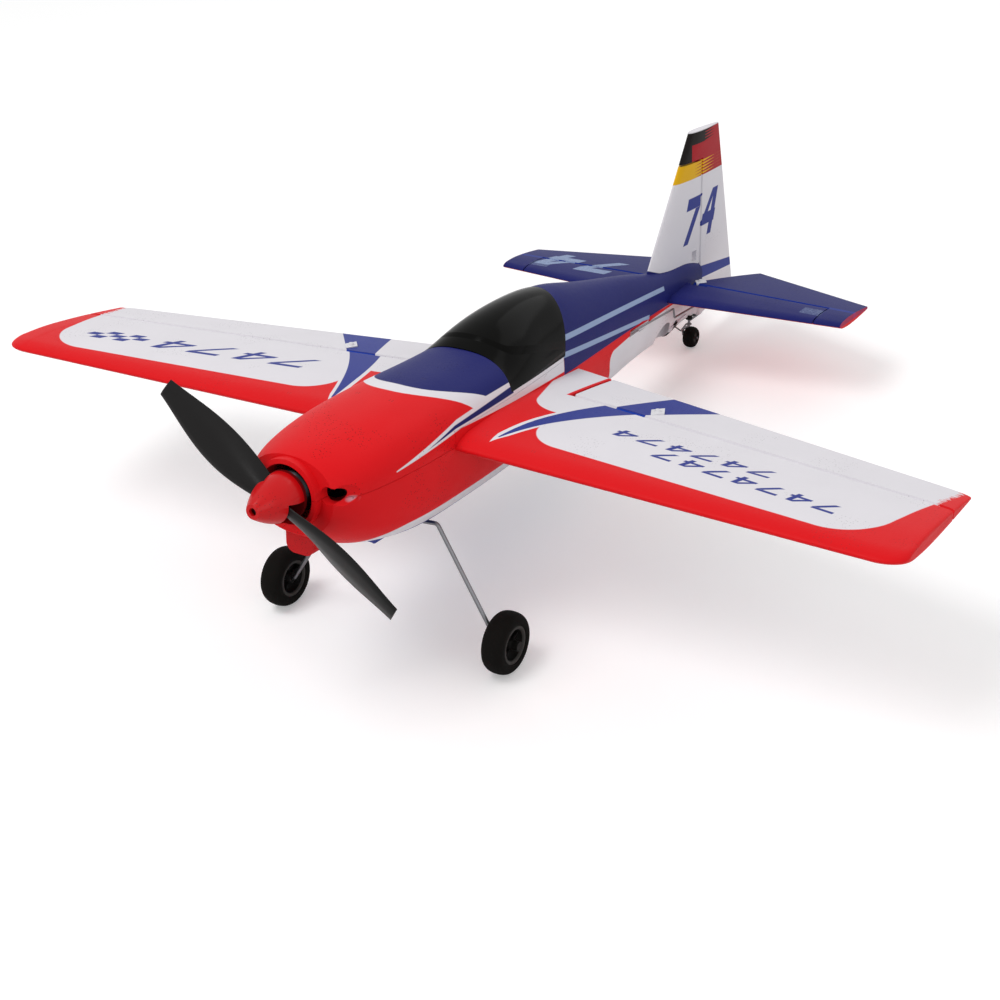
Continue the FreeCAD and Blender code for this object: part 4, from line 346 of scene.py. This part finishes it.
def wingPaint():
    f = Finish("wingPaint")
    x, y, z = f.x, f.y, f.z
    u = abs(x)
    front = y - (90.5 - (u - 70) * 0.0964)
    outer = 200 + (y - 92) * 0.215 - u
    inner = u - 50
    panel = rounded(front, outer, 19.0).least(rounded(front, inner, 15.0)).over(0.0, 0.5)
    t = y - 90
    lowerEdge = 42 + t * 0.3614 + t * t * 0.00369
    s = y - 92
    upperEdge = 41.2 + s * 0.138 + s * s * 0.00284
    outline = ((y - 82.5) / 9).most(0.0).least(1.0)
    swooshWhite = (u - (upperEdge - outline * 2.0)).over(0.0)
    swooshWhite = swooshWhite * (1 - (u - (lowerEdge + outline * 1.6)).over(0.0)) * y.over(82.3)
    ahead = 1 - aileronSide(f)
    swooshBlue = (u - upperEdge).over(0.0) * (1 - (u - lowerEdge).over(0.0)) * y.over(88.6)
    rootWhite = rounded(y - 125, u - (30.6 - (y - 138) * 0.30), 12.0).over(0.0, 0.5)
    rootWhite = rootWhite * (1 - (u - upperEdge).over(0.0))
    rootLine = u.between(37.6, 41.0) * y.over(149.8)
    bandIn = polygon([(60.6, 146.0), (75.3, 146.0), (103.0, 180.0), (76.8, 186.5)], u, y).over(0.0)
    # Painted highlight: a brighter blue along the aileron's hinge bevel, in the inboard band.
    hingeNoseHighlight = (1 - (y - hingeLine(u)).over(2.4, 0.3)) * (y - hingeLine(u)).over(-0.4)
    aileronWhite = aileronSide(f)
    tipEdge = 207.4 + (y - 119) * 0.18
    streak = f.noise(0.9, 2.0, 0.6, f.place.node("ShaderNodeCombineXYZ", [x * 0.16, y * 1.6, 0.0]))
    tipRed = (u - (tipEdge - (streak - 0.42).most(0.0) * 12 * (y - 126).over(0.0, 8.0))).over(0.0, 0.4)
    onTop = (z - chordHeight(u, y)).over(0.0, 0.3)
    port = x.over(0.0) * onTop
    starboard = (1 - x.over(0.0)) * onTop
    near = (183.0 - x) * 0.155 + 99.0 - y
    far = (150.0 - x) * 0.090 + 117.5 - y
    digits = (numberRow(183.0 - x, near, 7, 11.8, 8.2) + numberRow(150.0 - x, far, 6, 12.4, 8.2)) * port
    line = 125.0 - (u - 70.5) * 0.17 - y
    starDigits = numberRow(u - 70.0, line, 4, 20.6, 14.5, 0.35, 0.17) * starboard
    checkAcross = (u - 155.0 - line * 0.35) / 6.0
    checkAlong = (line - 1.0) / 3.9
    parity = (checkAcross.math("FLOOR") + checkAlong.math("FLOOR")).math("PINGPONG", 1.0)
    checks = parity * checkAcross.between(0.0, 5.0, 0.02) * checkAlong.between(0.0, 3.0, 0.02) * starboard
    pits = f.foamSkin(0.30, [pipGroup(u, y, (203.0, 96.0)), pipGroup(u, y, (60.0, 84.0))])
    base = f.paint(ink["red"], (panel, ink["white"]), (rootWhite, ink["white"]),
                   (swooshWhite, ink["white"]), (swooshBlue, ink["wingBlue"]),
                   (rootLine * ahead, ink["red"]))
    aft = f.paint(ink["white"], (bandIn, ink["wingBlue"]), (bandIn * hingeNoseHighlight, ink["hingeHighlightBlue"]),
                  (tipRed, ink["red"]))
    colour = f.paint(base, (aileronWhite, aft), (digits.most(starDigits).most(checks), ink["wingBlue"]),
                     (pits * 0.30, "#3A3436"))
    f.set("Base Color", f.wear(colour, 0.06))
    return f.material


def hingeLine(u):
    return 150.3 - (u - 40.4) * 0.1458


def aileronSide(f):
    # 1 on the ailerons, aft of the hinge line and outboard of the root
    u = abs(f.x)
    return (f.y - hingeLine(u)).over(0.0, 0.1) * u.over(39.8, 0.1)


def chordHeight(u, y):
    return -0.2 - (y - 78.6) * 0.0205


def tailplanePaint():
    f = Finish("tailplanePaint")
    x, y, z = f.x, f.y, f.z
    u = abs(x)
    under = 1 - (z + 3.3).over(0.0, 0.3)
    tips = (u - 96.3).over(0.0, 0.3)
    label = u.between(72.5, 83.2) * y.between(322.6, 331.0) * (1 - under)
    worn = f.noise(1.3, 3.0).over(0.52, 0.12)
    starboard = (1 - x.over(0.0)) * (1 - under)
    digits = numberRow(u - 33.0, 351.0 - y, 2, 25.0, 25.0, 0.25, 0.26) * starboard
    # Painted highlight: a brighter blue strip along the elevator hinge line on the top.
    hingeHighlight = y.between(335.4, 338.4, 0.4) * (1 - under)
    pips = [pipGroup(u, y, place) for place in ((88.6, 349.0), (29.6, 367.4), (88.1, 320.8), (31.4, 346.0))]
    pits = f.foamSkin(pips=pips)
    colour = f.paint(ink["deckBlue"], (hingeHighlight * 0.35, ink["hingeHighlightBlue"]), (under.most(tips), ink["red"]),
                     (label * (0.16 + worn * 0.22), ink["paleStripe"]),
                     (digits * (0.72 + worn * 0.2), ink["paleStripe"]),
                     (pits * 0.6, "#0B0C20"))
    f.set("Base Color", f.wear(colour, 0.12))
    return f.material


def finPaint():
    f = Finish("finPaint")
    x, y, z = f.x, f.y, f.z
    baseEdge = 6.0 + ((337 - y).most(0.0) / 42.5) ** 1.6 * 10.0
    onRudder = (y - (355.2 - z * 0.0587)).over(0.0, 0.1)
    base = (1 - (z - baseEdge).over(0.0, 0.4)) * (1 - onRudder)
    band = 1 - (z - (4.2 - (y - 351) * 0.114)).over(0.0)
    band = band * (z - (-3.7 - (y - 363) * 0.06)).over(0.0) * onRudder
    flash = z.over(53.4)
    streakWave = ((z - 53.4) / 1.62).math("FRACT")
    streakShare = ((y - 343) / 26).most(0.0).least(1.0)
    yellowStreak = streakWave.over(streakShare, 0.12) * (1 - z.over(63.6))
    yellow = yellowStreak.most(1 - y.over(343.5)) * (1 - z.over(62.0))
    blackFront = 339.8 + z.over(71.0) * 14.5
    blackWave = ((z - 71.0) / 1.5).math("FRACT")
    blackShare = ((y - 351) / 17).most(0.0).least(1.0)
    blackStreak = z.over(71.0) * blackWave.over(blackShare, 0.15) * (1 - y.over(367.0))
    black = (1 - (y - blackFront).over(0.0)).most(blackStreak) * z.over(62.0)
    port = x.math("SIGN")
    number = numberRow((y - 352) * port + 22.5, z - 19.4, 2, 22.5, 24.0, 0.34, 0.26)
    capTop = z.over(77.1, 0.2)
    pits = f.foamSkin(0.28)
    colour = f.paint(ink["white"], (base, ink["deckBlue"]), (band, ink["wingBlue"]),
                     (number, ink["wingBlue"]), (flash, ink["flashRed"]),
                     (flash * yellow, ink["yellow"]), (flash * black, ink["flashBlack"]),
                     (capTop, ink["white"]), (pits * 0.25, "#3A3436"))
    f.set("Base Color", f.wear(colour, 0.06))
    return f.material


def tailPlatePaint():
    f = Finish("tailPlatePaint")
    dark = (-f.z - 22.1).over(0.0, 0.2).most(sternTab(f))
    pits = f.foamSkin(0.2)
    f.set("Base Color", f.wear(f.paint(ink["white"], (dark, "#171615"), (pits * 0.2, "#3A3436")), 0.06))
    return f.material


def sprayed(name, colour, strength=0.25, gloss=0.12):
    f = Finish(name)
    pits = f.foamSkin(strength)
    f.set("Base Color", f.wear(f.paint(colour, (pits * 0.4, "#140A0C")), 0.10, 0.12))
    f.set("Coat Weight", gloss)
    f.set("Coat Roughness", 0.16)
    return f.material


canopyLook = {"colour": "#090908", "specular": 0.045, "roughness": 0.12, "creaseWidth": 3.4,
              "creaseRise": 0.85}


def canopyGloss():
    # the bubble rises from a flange, with a crease round its front and along its side
    f = Finish("canopyGloss", 0.16, Specular_IOR_Level=canopyLook["specular"])
    rise = rounded(f.y - 130.6, f.z - (20.4 - (f.y - 144) * 0.21), 7.0)
    crease = rise.over(0.0, canopyLook["creaseWidth"])
    frame = (f.z - (8.6 + (f.y - 150) * 0.05)).over(0.0, 1.2)
    f.set("Base Color", f.wear(f.paint(canopyLook["colour"]), 0.25, 0.10))
    f.set("Roughness", f.noise(0.5, 2.0) * 0.06 + canopyLook["roughness"])
    f.bump(crease * canopyLook["creaseRise"] + frame * 0.35 + f.noise(0.9, 2.0) * 0.012, 1.0, 0.001)
    return f.material


def moulded(name, colour, roughness=0.45, grain=1.6, strength=0.18, **shader):
    f = Finish(name, roughness, **shader)
    fine = f.noise(grain, 3.0, 0.6)
    f.set("Base Color", f.wear(f.paint(colour), 0.16, 0.18))
    f.set("Roughness", fine * 0.14 + (roughness - 0.07))
    f.bump(fine, strength, 0.00012)
    return f.material


def foamRubber():
    f = Finish("tyreFoam", 0.8)
    pores = f.cells(2.6)
    fine = f.noise(3.4, 3.0, 0.65)
    f.set("Base Color", f.mix(fine, linear("#070605"), linear("#161412")))
    f.set("Roughness", fine * 0.2 + 0.68)
    f.bump(pores * 0.7 + fine * 0.5, 0.55, 0.00018)
    return f.material


def drawnWire():
    f = Finish("drawnWire", 0.32, Metallic=1.0)
    streaks = f.noise(2.4, 4.0, 0.7)
    f.set("Base Color", f.mix(streaks, linear("#5B5B5E"), linear("#96969A")))
    f.set("Roughness", streaks * 0.22 + 0.22)
    f.bump(streaks, 0.15, 0.00008)
    return f.material


def turnedMetal(name, dark, light):
    f = Finish(name, 0.3, Metallic=1.0)
    radius = (f.x * f.x + f.z * f.z).math("SQRT")
    rings = f.noise(1.4, 3.0, 0.6, f.place.node("ShaderNodeCombineXYZ", [radius * 6.0, f.y * 6.0, 0.0]))
    f.set("Base Color", f.mix(rings, linear(dark), linear(light)))
    f.set("Roughness", rings * 0.2 + 0.2)
    f.bump(rings, 0.2, 0.00006)
    return f.material


def boardLaminate():
    f = Finish("boardLaminate", 0.35)
    tracks = ((f.x * 0.9).math("FRACT") - 0.5).math("ABSOLUTE").over(0.36, 0.06)
    chip = (f.z + 25.2).over(0.0, 0.1)
    f.set("Base Color", f.paint("#0B4A2C", (tracks * 0.5, "#1B7A4A"), (chip, "#131416")))
    f.set("Roughness", f.noise(1.5) * 0.2 + 0.3)
    f.bump(tracks * (1 - chip), 0.2, 0.00008)
    return f.material


def batteryFilm():
    f = Finish("batteryFilm", 0.25)
    crease = f.noise(0.22, 4.0, 0.7)
    band = f.y.between(52.0, 60.0)
    f.set("Base Color", f.wear(f.paint("#22407E", (band, "#C9CBD2")), 0.15))
    f.set("Roughness", crease * 0.2 + 0.15)
    f.bump(crease, 0.35, 0.0006)
    return f.material


def wovenStrap():
    f = Finish("wovenStrap", 0.85)
    weave = ((f.x * 2.6).math("SINE") * (f.y * 2.6).math("SINE") + 1) * 0.5
    f.set("Base Color", f.mix(weave, linear("#0B0B0D"), linear("#26262A")))
    f.set("Roughness", weave * 0.1 + 0.8)
    f.bump(weave, 0.6, 0.0003)
    return f.material


def carbonTube():
    f = Finish("carbonTube", 0.3)
    weave = ((f.x * 3.0 + f.z * 2.0).math("SINE") * (f.x * 3.0 - f.z * 2.0).math("SINE")).over(0.0, 0.3)
    f.set("Base Color", f.mix(weave, linear("#0A0A0B"), linear("#2A2A2D")))
    f.set("Roughness", weave * 0.12 + 0.24)
    return f.material


hull = hullPaint()
wing = wingPaint()
tailplane = tailplanePaint()
fin = finPaint()
redPaint = sprayed("spinnerRed", "#C20A10", 0.14, 0.30)
scoopRed = sprayed("scoopRed", "#C01218")
blisterBlue = sprayed("blisterBlue", ink["wingBlue"])
canopyFilm = canopyGloss()
blackPlastic = moulded("blackPlastic", "#151413", 0.42)
propPlastic = moulded("propPlastic", "#0D0B0B", 0.32, 0.9, 0.14, Specular_IOR_Level=0.2)
whitePlastic = moulded("whitePlastic", "#D9D8DC", 0.38)
greyPlastic = moulded("greyPlastic", "#4A4A4C", 0.5)
hubPlastic = moulded("hubPlastic", "#0D0C0B", 0.48)
ringPlastic = moulded("ringPlastic", "#3B3937", 0.45)
servoPlastic = moulded("servoPlastic", "#10131C", 0.4)
hingePlastic = moulded("hingePlastic", "#B9BCC4", 0.4)
rubber = foamRubber()
wire = drawnWire()
# The motor bell is darkened as painted shade in the gap behind the spinner.
bellShadeMetal = turnedMetal("bellShadeMetal", "#161618", "#38383B")
# The spinner backplate is a dark red as painted shade in the gap behind the spinner.
backplateShadeRed = moulded("backplateShadeRed", "#6A0B0F", 0.5)
statorMetal = turnedMetal("statorMetal", "#4B443C", "#8C8276")
magnetMetal = turnedMetal("magnetMetal", "#8D8E92", "#D0D1D4")
print("materials made")

dress = {hull: ["fuselage_shell", "top_hatch"],
         wing: ["wing_panel_port", "wing_panel_starboard", "aileron_port", "aileron_starboard"],
         tailplane: ["stabiliser", "elevator_port", "elevator_starboard"],
         fin: ["tail_fin", "rudder"],
         redPaint: ["spinner"],
         scoopRed: ["chin_scoop"],
         blisterBlue: ["belly_blister"],
         canopyFilm: ["canopy_glazing"],
         backplateShadeRed: ["spinner_backplate"],
         blackPlastic: ["motor_mount", "gear_block", "wheel_collars"],
         tailPlatePaint(): ["tail_plate"],
         propPlastic: ["propeller"],
         whitePlastic: ["elevator_servo_arm", "rudder_servo_arm", "aileron_servo_arm_port",
                        "aileron_servo_arm_starboard", "elevator_horn", "rudder_horn", "aileron_horn_port",
                        "aileron_horn_starboard"],
         greyPlastic: ["servo_tray"],
         hubPlastic: ["main_hub_port", "main_hub_starboard"],
         servoPlastic: ["elevator_servo", "rudder_servo", "aileron_servo_port", "aileron_servo_starboard"],
         hingePlastic: ["surface_hinges"],
         rubber: ["main_tyre_port", "main_tyre_starboard", "tail_wheel"],
         wire: ["motor_shaft", "mount_screws", "spinner_screw", "elevator_pushrod", "rudder_pushrod",
                "aileron_pushrod_port", "aileron_pushrod_starboard", "elevator_joiner", "gear_leg_port",
                "gear_leg_starboard", "tail_brace", "tail_post"],
         bellShadeMetal: ["motor_bell"],
         statorMetal: ["motor_stator"],
         magnetMetal: ["hatch_magnets", "fuselage_magnets"],
         boardLaminate(): ["control_board"],
         batteryFilm(): ["battery"],
         wovenStrap(): ["battery_strap"],
         carbonTube(): ["wing_spar"]}
for material, names in dress.items():
    for name in names:
        for place in nodes[name].material_slots:
            place.material = material
print("nodes dressed")


# Wheels, turned smooth over the plain ones.
mainWheel = {"radius": 13.1, "halfWidth": 5.0, "seat": 8.3, "plumpness": 2.4, "ringWidth": 1.5,
             "dishDepth": 3.0, "bossRadius": 2.3, "spokes": 5}
tailWheel = {"radius": 5.67, "halfWidth": 3.1, "seat": 2.7, "plumpness": 2.2}


def makePiece(name, shape, materials, body):
    bmesh.ops.remove_doubles(shape, verts=shape.verts, dist=0.000001)
    bmesh.ops.recalc_face_normals(shape, faces=shape.faces)
    mesh = bpy.data.meshes.new(name)
    shape.to_mesh(mesh)
    shape.free()
    for material in materials:
        mesh.materials.append(material)
    mesh.polygons.foreach_set("use_smooth", [True] * len(mesh.polygons))
    piece = bpy.data.objects.new(name, mesh)
    bpy.context.scene.collection.objects.link(piece)
    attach(piece, body)
    return piece


def spinProfile(shape, profile, centre, steps=72, materialIndex=0):
    # profile points are (along the axle, radius) in millimetres
    made = [shape.verts.new(centre + Vector((along, 0, radius)) * 0.001) for along, radius in profile]
    edges = [shape.edges.new(pair) for pair in zip(made, made[1:])]
    before = set(shape.faces)
    bmesh.ops.spin(shape, geom=made + edges, cent=centre, axis=(1, 0, 0), angle=math.tau, steps=steps,
                   use_merge=True)
    for face in set(shape.faces) - before:
        face.material_index = materialIndex


def plumpTyre(wheel, points=24):
    # a balloon section from one bead over the tread to the other
    tall = wheel["radius"] - wheel["seat"] - wheel["halfWidth"] * 0.28
    middle = wheel["radius"] - tall
    profile = [(-wheel["halfWidth"] * 0.80, wheel["seat"])]
    for index in range(points + 1):
        angle = math.radians(-24 + 228 * index / points)
        across = -math.copysign(abs(math.cos(angle)) ** (2 / wheel["plumpness"]), math.cos(angle))
        up = math.copysign(abs(math.sin(angle)) ** (2 / wheel["plumpness"]), math.sin(angle))
        profile.append((across * wheel["halfWidth"], middle + up * tall))
    return profile + [(wheel["halfWidth"] * 0.80, wheel["seat"])]


def mainWheelPieces(side):
    centre = Vector(joints["wheel_%s_spin" % side]["pos_m"])
    tyre = bmesh.new()
    spinProfile(tyre, plumpTyre(mainWheel), centre)
    tyrePiece = makePiece("tyre_" + side, tyre, [rubber], "wheel_" + side)
    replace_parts(tyrePiece, "main_tyre_" + side)

    half = mainWheel["halfWidth"] * 0.86
    ring = mainWheel["seat"]
    inner = ring - mainWheel["ringWidth"]
    floor = half - mainWheel["dishDepth"]
    boss = mainWheel["bossRadius"]
    hub = bmesh.new()
    for way in (-1, 1):
        lip = [(half * way, ring + 0.25), ((half + 0.25) * way, ring - 0.2),
               ((half + 0.3) * way, inner + 0.4), ((half + 0.1) * way, inner),
               ((half - 0.5) * way, inner - 0.15)]
        spinProfile(hub, lip, centre)
        dish = [((half - 0.5) * way, inner - 0.15), (floor * way, inner - 0.7), (floor * way, boss + 0.6),
                ((floor + 0.3) * way, boss + 0.15), ((half - 0.6) * way, boss),
                ((half - 0.35) * way, boss - 0.3),
                ((half - 0.35) * way, 0.95), ((half - 1.2) * way, 0.95)]
        spinProfile(hub, dish, centre, materialIndex=1)
        for index in range(mainWheel["spokes"]):
            turn = Matrix.Rotation(math.tau * index / mainWheel["spokes"], 4, "X")
            spoke = bmesh.ops.create_cube(hub, size=1.0)["verts"]
            bmesh.ops.scale(hub, vec=(0.0012, 0.0009, (inner - boss) * 0.001), verts=spoke)
            bmesh.ops.translate(hub, vec=((floor + 0.4) * way * 0.001, 0, (inner + boss) * 0.0005),
                                verts=spoke)
            bmesh.ops.transform(hub, matrix=Matrix.Translation(centre) @ turn, verts=spoke)
            for face in {face for vert in spoke for face in vert.link_faces}:
                face.material_index = 1
    hubPiece = makePiece("hub_" + side, hub, [ringPlastic, hubPlastic], "wheel_" + side)
    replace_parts(hubPiece, "main_hub_" + side)


def tailWheelPiece():
    centre = Vector(joints["tail_wheel_spin"]["pos_m"])
    wheel = bmesh.new()
    spinProfile(wheel, plumpTyre(tailWheel), centre, 48)
    half = tailWheel["halfWidth"] * 0.80
    for way in (-1, 1):
        face = [(half * way, tailWheel["seat"]), ((half - 0.35) * way, tailWheel["seat"] - 0.3),
                ((half - 0.35) * way, 0.8)]
        spinProfile(wheel, face, centre, 48, 1)
    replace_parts(makePiece("tail_tyre", wheel, [rubber, ringPlastic], "tail_wheel"), "tail_wheel")


for wheelSide in ("port", "starboard"):
    mainWheelPieces(wheelSide)
tailWheelPiece()
print("wheels turned")


# Studio.

studio = {"floorColour": "#EEEEEE", "floorGlow": 0.24, "keyPower": 13.0, "fillPower": 4.0, "rimPower": 4.0,
          "sky": 0.62}


def addFloor():
    mesh = bpy.data.meshes.new("floor")
    shape = bmesh.new()
    bmesh.ops.create_grid(shape, x_segments=1, y_segments=1, size=6.0)
    shape.to_mesh(mesh)
    shape.free()
    floor = bpy.data.objects.new("floor", mesh)
    bpy.context.scene.collection.objects.link(floor)
    material = bpy.data.materials.new("floorWhite")
    material.use_nodes = True
    tree = material.node_tree
    surface = tree.nodes["Principled BSDF"]
    surface.inputs["Base Color"].default_value = linear(studio["floorColour"])
    surface.inputs["Roughness"].default_value = 0.9
    surface.inputs["Specular IOR Level"].default_value = 0.0
    surface.inputs["Emission Strength"].default_value = 1.0
    path = Wire(tree, tree.nodes.new("ShaderNodeLightPath").outputs["Is Camera Ray"])
    glow = path.node("ShaderNodeMix", {0: path, 6: linear("#000000"), 7: [studio["floorGlow"]] * 3 + [1.0]},
                     output=2, data_type="RGBA")
    tree.links.new(glow.socket, surface.inputs["Emission Color"])
    mesh.materials.append(material)


def addLamp(name, power, size, place, aim):
    data = bpy.data.lights.new(name, "AREA")
    data.energy = power
    data.size = size
    lamp = bpy.data.objects.new(name, data)
    lamp.location = place
    lamp.rotation_euler = (Vector(aim) - Vector(place)).to_track_quat("-Z", "Y").to_euler()
    bpy.context.scene.collection.objects.link(lamp)


def addSky():
    world = bpy.data.worlds.new("studio")
    world.use_nodes = True
    tree = world.node_tree
    background = tree.nodes["Background"]
    path = tree.nodes.new("ShaderNodeLightPath")
    seen = tree.nodes.new("ShaderNodeMath")
    seen.operation = "MAXIMUM"
    tree.links.new(path.outputs["Is Camera Ray"], seen.inputs[0])
    tree.links.new(path.outputs["Is Glossy Ray"], seen.inputs[1])
    through = tree.nodes.new("ShaderNodeMath")
    through.operation = "MAXIMUM"
    tree.links.new(seen.outputs[0], through.inputs[0])
    tree.links.new(path.outputs["Is Transmission Ray"], through.inputs[1])
    level = tree.nodes.new("ShaderNodeMapRange")
    level.inputs["To Min"].default_value = studio["sky"]
    level.inputs["To Max"].default_value = 1.0
    tree.links.new(through.outputs[0], level.inputs["Value"])
    tree.links.new(level.outputs[0], background.inputs["Strength"])
    background.inputs["Color"].default_value = (1, 1, 1, 1)
    bpy.context.scene.world = world


def addCamera():
    data = bpy.data.cameras.new("photoView")
    data.lens = 62.986
    data.sensor_width = 36.0
    data.shift_x = -0.004517
    data.shift_y = -0.071757
    camera = bpy.data.objects.new("photoView", data)
    camera.location = (0.376788, -0.603312, 0.435795)
    camera.rotation_euler = [math.radians(angle) for angle in (60.3008, 4.3253, 31.1005)]
    bpy.context.scene.collection.objects.link(camera)
    bpy.context.scene.camera = camera


addFloor()
addLamp("key", studio["keyPower"], 0.8, (-0.45, -0.75, 1.7), (0, 0, 0.05))
addLamp("fill", studio["fillPower"], 1.2, (1.4, -0.9, 0.9), (0, 0, 0.05))
addLamp("rim", studio["rimPower"], 1.2, (0.3, 1.5, 1.2), (0, 0, 0.05))
addSky()
addCamera()
bpy.context.scene.view_settings.view_transform = "Standard"
print("studio ready")
